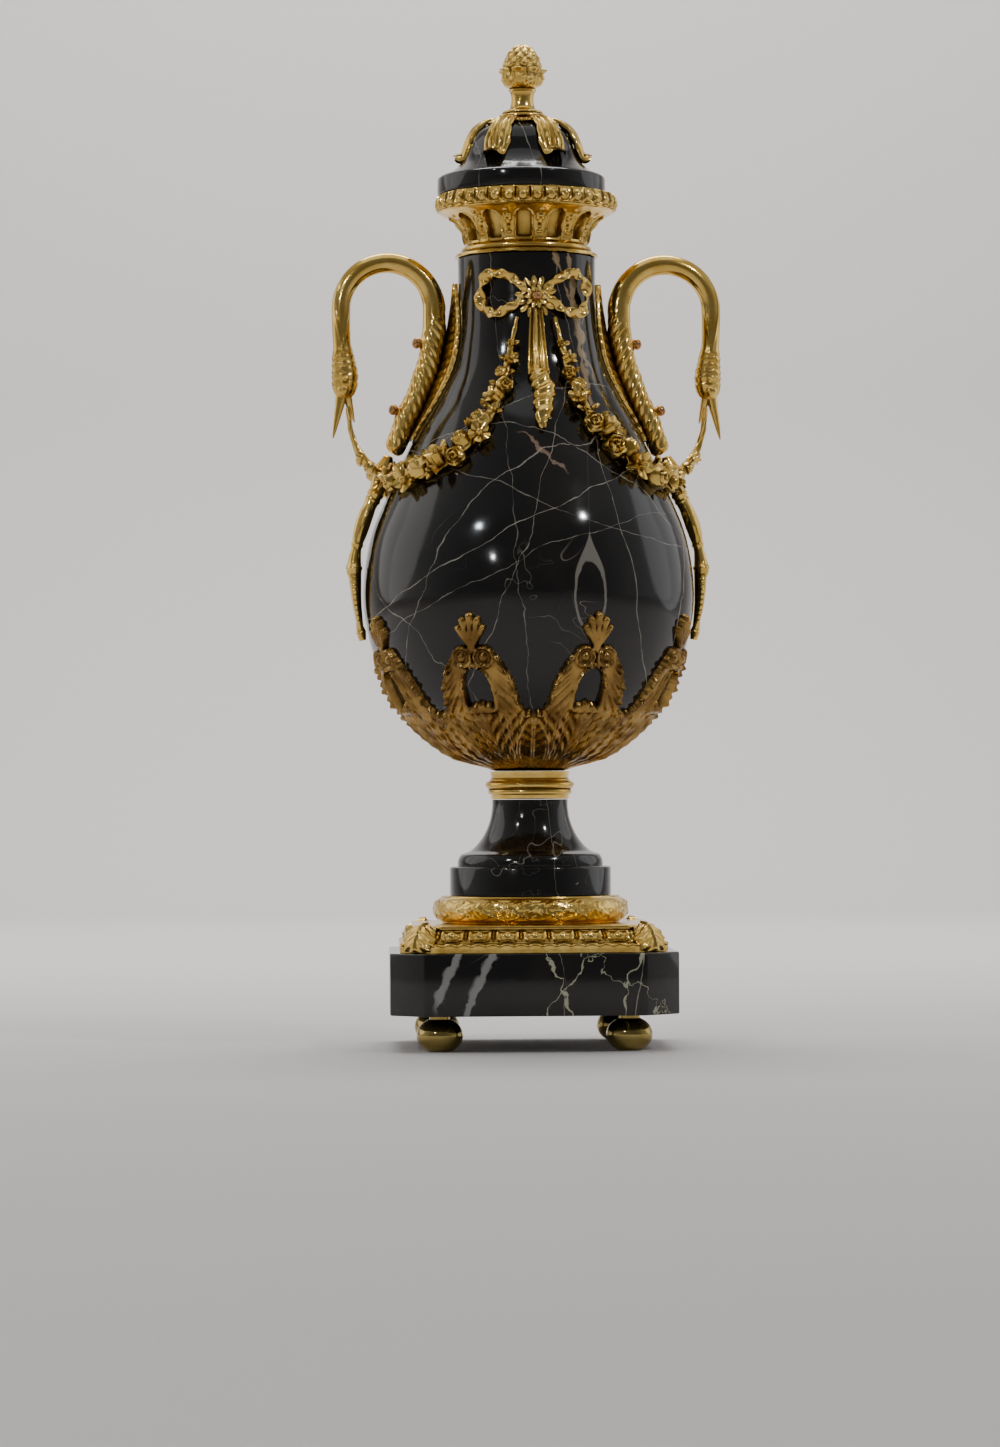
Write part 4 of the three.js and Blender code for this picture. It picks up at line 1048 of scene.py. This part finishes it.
# %% [markdown]
# ## The bow
# A ribbon is tied in two loops under a rosette of pointed petals, and its end hangs in straight
# folds that roll into a point. Cloth could be simulated, but this is a casting of a ribbon, with
# chosen folds. The loops are bands carried round a closed path that lies on the neck, and the
# pleats are a wave along the band.

# %% The bow
KNOT = 470.8


def around(radius, degrees, z):
    """The point at a radius, an angle from the front towards +X, and a height."""
    a = np.radians(degrees)
    return np.stack(np.broadcast_arrays(radius * np.sin(a), -radius * np.cos(a), z), axis=-1)


def petals(reach, count, depth, rise, turned_by):
    """A star of pointed petals: the outline is a zigzag, each petal is creased and lifts to its tip."""
    phi = circle(count * 10)
    rho = np.linspace(0.1, 1, 9)[:, None]
    from_crease = np.abs((phi * count / (2 * np.pi)) % 1 - 0.5) * 2
    radius = reach * (1 - 0.36 * from_crease**1.7 * rho) * rho
    lift = depth + rise * rho**1.5 + 1.2 * (1 - from_crease) * np.sin(np.pi * (0.15 + 0.7 * rho))
    phi = phi + turned_by
    x, z = radius * np.cos(phi), KNOT + radius * np.sin(phi)
    face, rear = (np.stack(np.broadcast_arrays(x, -out, z), axis=-1) for out in (lift, depth - 1.0))
    return tube(np.concatenate([face, rear[::-4]]))


def ribbon_loop(side):
    """A flat ribbon round a closed loop on the neck: it rocks from edge to edge, which makes its pleats,
    and widens at the bend."""
    t = circle(190)[0]
    degrees = side * (26.5 - 18 * np.cos(t))
    z = KNOT + 3 + 12.0 * np.sin(t) * (1 - 0.35 * np.cos(t))
    path = around(body_radius(z) + 3.6, degrees, z)
    phi = circle(22)
    half_wide, half_thick = (2.9 + 0.9 * np.sin(t / 2) ** 2)[:, None], 1.0
    flat, thick = half_wide * np.cos(phi), half_thick * np.sin(phi)
    rock = 0.75 * np.sin(6 * t)[:, None]
    across, out = flat * np.cos(rock) - thick * np.sin(rock), flat * np.sin(rock) + thick * np.cos(rock)
    path, up, across, out = (np.concatenate([v[-1:], v, v[:1]])
                             for v in (path, around(1.0, degrees, 0), across, out + 0.8))
    return tube(carried(path, up, across, out)[1:-1], ends="loop")


def hanging_end():
    """Straight folds that widen downwards to a slanting hem, then a loosely rolled end."""
    z = np.linspace(464, 420, 60)

    def lift(s, t):
        creases = 0.75 * np.cos(1.8 * np.pi * t - 0.6) + 0.45 * np.cos(4.4 * np.pi * t + 0.8)
        return 1.7 + creases + 1.3 * step(s + 0.05 * t, 0.86, 0.96)
    path = around(body_radius(z) + 2.6, 0, z)
    folds = strip(path, (0, -1, 0), lambda s, t: 3.6 + 3.2 * s**0.9, lift, 2.6, 27)
    z = np.linspace(423, 386.2, 100)
    s = np.linspace(0, 1, 100)[:, None]
    path = around(body_radius(z) + 3.6, 2.0 * np.sin(5 * s[:, 0]) + 2.5 * s[:, 0], z)
    phi = circle(40)
    wrap = (s * 2.6 + phi / (2 * np.pi) + 0.35) % 1
    radius = np.interp(s, [0, 0.08, 0.35, 0.6, 0.8, 0.95, 1], [4.8, 6.8, 7.0, 6.8, 4.8, 2.8, 1.2])
    edge = 0.34 * np.sqrt(wrap) * (1 - step(wrap, 0.9, 1.0))
    radius = radius * (0.74 + edge + 0.10 * np.cos(4 * np.pi * wrap))
    return joined([folds, tube(carried(path, (0, -1, 0), radius * np.cos(phi), 0.68 * radius * np.sin(phi)))])


bow = joined([petals(13.6, 14, 47.6, -0.4, 0.1), petals(7.6, 10, 49.4, 0.8, 0.3),
              ribbon_loop(1), ribbon_loop(-1), hanging_end()])
rosette_screw = ball(3.0, (0, -54.0, KNOT), 28)
for place, turn_by in (("front", 0), ("back", 180)):
    stand = about_z(MOUNT_TURN + turn_by)
    made(f"bow_{place}", moved(bow, stand), "gilt_bronze", sharp=50)
    made(f"bow_screw_{place}", moved(rosette_screw, stand), "copper")

# %% [markdown]
# ## The flower garlands
# From each side of the bow a garland hangs round the shoulder and rises to the swan's bill. A real
# one was cast with its roses, open flowers, buds and leaves crowded on a stem. A particle system
# could scatter them, but its copies are in no mesh until they are made real. Here four small shapes
# are made once and set along the route, turned and sized by a seeded random choice, thick in the
# middle of the swag and thin at its ends, and joined into one piece.

# %% The flowers and leaves
def polar_flower(outline, lift, rings, steps):
    """A flower face: outline(phi) is its edge, lift(rho, phi) its height, closed by a flat back."""
    phi, rho = circle(steps), np.linspace(0.08, 1, rings)[:, None]
    edge = outline(phi)
    face = rings_of(edge * rho, lift(rho, phi), phi)
    return tube(np.concatenate([face, rings_of(edge, np.full((1, steps), -0.35), phi)]))


def rose_lift(rho, phi):
    """A domed face with one petal edge that winds outwards."""
    return 0.80 * np.sqrt(1.04 - rho**2) + 0.15 * np.cos(2 * np.pi * 2.6 * rho - phi) - 0.1


def open_lift(rho, phi):
    """Five petals round a raised boss."""
    boss = 0.62 + 0.3 * np.sqrt(np.clip(1 - (rho / 0.34) ** 2, 0, 1))
    return np.where(rho < 0.34, boss, 0.34 + 0.34 * rho * np.abs(np.cos(2.5 * phi)))


rose = polar_flower(lambda phi: 1 + 0.06 * np.cos(5 * phi), rose_lift, 10, 24)
open_flower = polar_flower(lambda phi: 0.72 + 0.28 * np.abs(np.cos(2.5 * phi)), open_lift, 8, 30)
bud = revolve([[0.02, -0.7], [0.3, -0.6], [0.44, -0.2], [0.4, 0.2], [0.2, 0.65], [0.02, 0.9]], 8)
leaf_line = np.column_stack([np.zeros(7), np.linspace(0, 1.9, 7), 0.30 * np.sin(np.linspace(0, 2.6, 7))])
small_leaf = strip(leaf_line, (0, 0, 1), lambda s, t: 0.58 * np.sin(np.pi * (0.04 + 0.92 * s)) ** 0.8 + 0.02,
                   lambda s, t: 0.25 * np.abs(t), 0.14, 5)


def placed(shape, centre, out, along, size, spin):
    """A small shape set at a place, facing out, turned by an angle from a direction along the stem."""
    out = unit(out)
    along = unit(along - out * (along @ out))
    across = np.cross(along, out)
    c, s = np.cos(spin), np.sin(spin)
    matrix = np.stack([across * c + along * s, along * c - across * s, out], axis=-1)
    return moved(shape, matrix * size, centre)


# %% The garlands
HUNG = [[14, 458], [17.5, 442], [20, 426], [22, 411], [25, 398], [31, 384], [39.5, 371], [51, 362], [66, 358]]
FREE = [[93, -10.4, 359.5], [101, -8, 367.5], [108, -6.4, 377], [112.6, -4.8, 390], [114.6, -3.2, 405]]


def skin_normal(points):
    """Out from the sloping skin of the vase."""
    z = points[:, 2]
    slope = (body_radius(z + 2) - body_radius(z - 2)) / 4
    return unit(unit(points * [1, 1, 0]) - slope[:, None] * np.array([0, 0, 1]))


def garland(side, seed, crowd):
    """A knobbly stem along the route, and flowers, buds and leaves set on it at even steps."""
    rng = np.random.default_rng(seed)
    samples, first_flower, last_flower = 300, 0.08, 0.87
    degrees, z = np.array(HUNG, dtype=float).T
    route = np.vstack([around(body_radius(z) + 4.0, degrees, z), FREE])
    path = smooth_curve(route * [side, 1, 1], samples)
    f = np.linspace(0, 1, samples)
    wide = np.interp(f, [0, 0.05, 0.1, 0.2, 0.3, 0.4, 0.5, 0.62, 0.72, 0.8, 0.86, 0.9, 1],
                     [1.4, 2.4, 4.8, 7.0, 8.6, 10.4, 11.4, 10.8, 8.8, 6.8, 4.8, 1.9, 1.3])
    normal, tangent = skin_normal(path), unit(np.gradient(path, axis=0))
    across = np.cross(tangent, normal)
    phi, along = circle(16), f[:, None]
    knobs = 1 + 0.16 * np.sin(40 * np.pi * along) * np.cos(3 * phi + 25 * along)
    stem = (0.30 * wide + 0.7)[:, None] * knobs
    shapes = [tube(carried(path, normal, stem * np.cos(phi), np.minimum(stem, 3.2) * np.sin(phi)))]
    at, count = first_flower, 0
    while at < last_flower:
        k = int(at * (samples - 1))
        w, aside, on = wide[k], across[k], tangent[k]
        swing = (-1) ** count * (0.36 if w > 5 else 0.16)
        centre = path[k] + aside * w * (swing + rng.uniform(-0.06, 0.06)) + normal[k] * min(2.2, 0.36 * w)
        out = normal[k] + aside * swing * 1.3 + on * rng.uniform(-0.3, 0.3)
        size = w * rng.uniform(0.62, 0.78)
        if count % 6 in (0, 2, 3):
            shapes.append(placed(rose, centre, out, on, max(size, 2.7), rng.uniform(0, 6.28)))
        elif count % 6 in (1, 4):
            shapes.append(placed(open_flower, centre, out, on, max(size * 1.15, 2.9), rng.uniform(0, 6.28)))
        else:
            shapes += [placed(bud, centre + aside * w * 0.3 * spin, out + aside * spin, on,
                              max(0.42 * w, 2.6), spin) for spin in (-1.1, 0.2, 1.3)]
        if rng.uniform() < 0.75:
            shapes.append(placed(small_leaf, path[k] + aside * w * 0.3 * np.sign(-swing), out, on,
                                 max(0.5 * w, 2.4), np.sign(swing) * rng.uniform(1.2, 2.0)))
        at += (0.040 if w > 6 else 0.045) / crowd
        count += 1
    return joined(shapes)


for place, turn_by, crowd in (("front", 0, 1.0), ("back", 180, 0.8)):
    for name, side, seed in (("left", -1, 11), ("right", 1, 4)):
        made(f"garland_{place}_{name}", moved(garland(side, seed, crowd), about_z(MOUNT_TURN + turn_by)),
             "gilt_bronze", sharp=60)

# %% [markdown]
# ## The floor and the wall
# A pale floor curves up into a pale wall, so that no line shows behind the urn. It could be a plane
# and a second one behind it, but one sheet with a quarter circle between them has no corner. It is
# staged, which keeps it out of the model.

# %% The backdrop
def backdrop():
    """A floor that runs back, bends through a quarter circle and rises as a wall; in metres."""
    front, bend_at, radius, high, half_width = -14.0, 3.4, 0.8, 5.0, 9.0
    turn = np.linspace(0, np.pi / 2, 24)
    y = np.concatenate([[front], bend_at + radius * np.sin(turn), [bend_at + radius]])
    z = np.concatenate([[0.0], radius * (1 - np.cos(turn)), [high]])
    x = np.array([-half_width, half_width])
    grid = np.stack(np.broadcast_arrays(x[None, :], y[:, None], z[:, None]), axis=-1).reshape(-1, 3)
    rows = np.arange(len(y) - 1) * 2
    mesh = bpy.data.meshes.new("backdrop")
    mesh.from_pydata(grid.tolist(), [], np.stack([rows, rows + 1, rows + 3, rows + 2], axis=-1).tolist())
    mesh.polygons.foreach_set("use_smooth", np.ones(len(rows), dtype=bool))
    paint, _, shader, _ = material("pale wall")
    shader.inputs["Base Color"].default_value = (0.62, 0.595, 0.58, 1)
    shader.inputs["Roughness"].default_value = 0.9
    mesh.materials.append(paint)
    wall = bpy.data.objects.new("backdrop", mesh)
    bpy.context.collection.objects.link(wall)
    wall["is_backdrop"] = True


backdrop()

# %% [markdown]
# ## The lights
# Two wide soft lights stand a little behind the urn, one on each side, with a weaker one above and
# one that only washes the wall. Polished black stone shows what is round it, so the air is darker on
# the camera's side than behind the urn, and three small lamps put bright points on the belly. An
# image of a room could light it all, but lamps can be moved one at a time.

# %% The lamps and the air
def lamp(name, kind, place, aim, energy, size, colour=(1, 1, 1)):
    """A light at a place, turned to face a point."""
    data = bpy.data.lights.new(name, kind)
    data.energy, data.color = energy, colour
    if kind == "AREA":
        data.shape, data.size = "DISK", size
    else:
        data.shadow_soft_size = size
    light = bpy.data.objects.new(name, data)
    light.location = place
    light.rotation_euler = (Vector(aim) - Vector(place)).to_track_quat("-Z", "Y").to_euler()
    bpy.context.collection.objects.link(light)


middle = (0, 0, 0.33)
lamp("soft_left", "AREA", (-2.2, 0.8, 1.2), middle, 11, 2.2, (1.0, 0.97, 0.93))
lamp("soft_right", "AREA", (2.3, 0.9, 1.0), middle, 8, 2.0, (0.95, 0.97, 1.0))
lamp("overhead", "AREA", (0.0, -0.2, 2.3), middle, 6, 2.0)
lamp("wall_wash", "AREA", (0.0, 1.6, 3.4), (0, 4.2, 1.0), 190, 2.6)
lamp("spark_right", "POINT", (1.37, -1.37, 1.9), middle, 44, 0.045)
lamp("spark_left", "POINT", (-1.35, -1.55, 1.68), middle, 26, 0.05, (0.9, 0.95, 1.0))
lamp("spark_low", "POINT", (-1.05, -2.1, 1.05), middle, 12, 0.035)
world = bpy.data.worlds.new("studio air")
world.use_nodes = True
air = Tree(world.node_tree)
sky = world.node_tree.nodes["Background"]
depth = air.add("SeparateXYZ", Vector=air.add("TexCoord").outputs["Generated"]).outputs["Y"]
air.link(air.ramp(depth, -0.95, 0.25, 0.22, 0.78), sky.inputs["Strength"])
sky.inputs["Color"].default_value = (0.66, 0.65, 0.64, 1)
bpy.context.scene.world = world

# %% [markdown]
# ## The camera
# A long lens stands a little above the plinth and looks almost level, so upright lines stay upright
# and the top of the plinth hardly shows. It could be aimed with a constraint, but then it couldn't
# lean, so it is turned by three angles: about the upright axis, up, and about its line of sight.

# %% The lens and where it stands
DISTANCE, EYE_HEIGHT, AZIMUTH = 2.890, 0.156, np.radians(-2.0)
PITCH, YAW, ROLL = np.radians([0.963, 0.37, -0.36])
camera_data = bpy.data.cameras.new("camera")
camera_data.lens = 113.2
camera = bpy.data.objects.new("camera", camera_data)
camera.location = (DISTANCE * np.sin(AZIMUTH), -DISTANCE * np.cos(AZIMUTH), EYE_HEIGHT)
camera.rotation_mode = "QUATERNION"
camera.rotation_quaternion = (Euler((0, 0, AZIMUTH + YAW)).to_quaternion()
                              @ Euler((np.pi / 2 + PITCH, 0, 0)).to_quaternion()
                              @ Euler((0, 0, ROLL)).to_quaternion())
bpy.context.collection.objects.link(camera)
bpy.context.scene.camera = camera
print("camera:", camera_data.lens, "mm lens,", DISTANCE, "m away and", EYE_HEIGHT, "m above the floor")

# %% [markdown]
# ## The sizes
# The box round the finished pieces is written next to the imported model's own box, so that the two
# can be compared. They could be compared by eye, but half a millimetre wouldn't be seen.

# %% The two boxes
model_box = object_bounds()
plain = lambda box: [[round(float(v), 6) for v in corner] for corner in box]
{"cad": plain(cad_box), "visual": plain(model_box)}
print("CAD box", plain(cad_box), "visual box", plain(model_box))
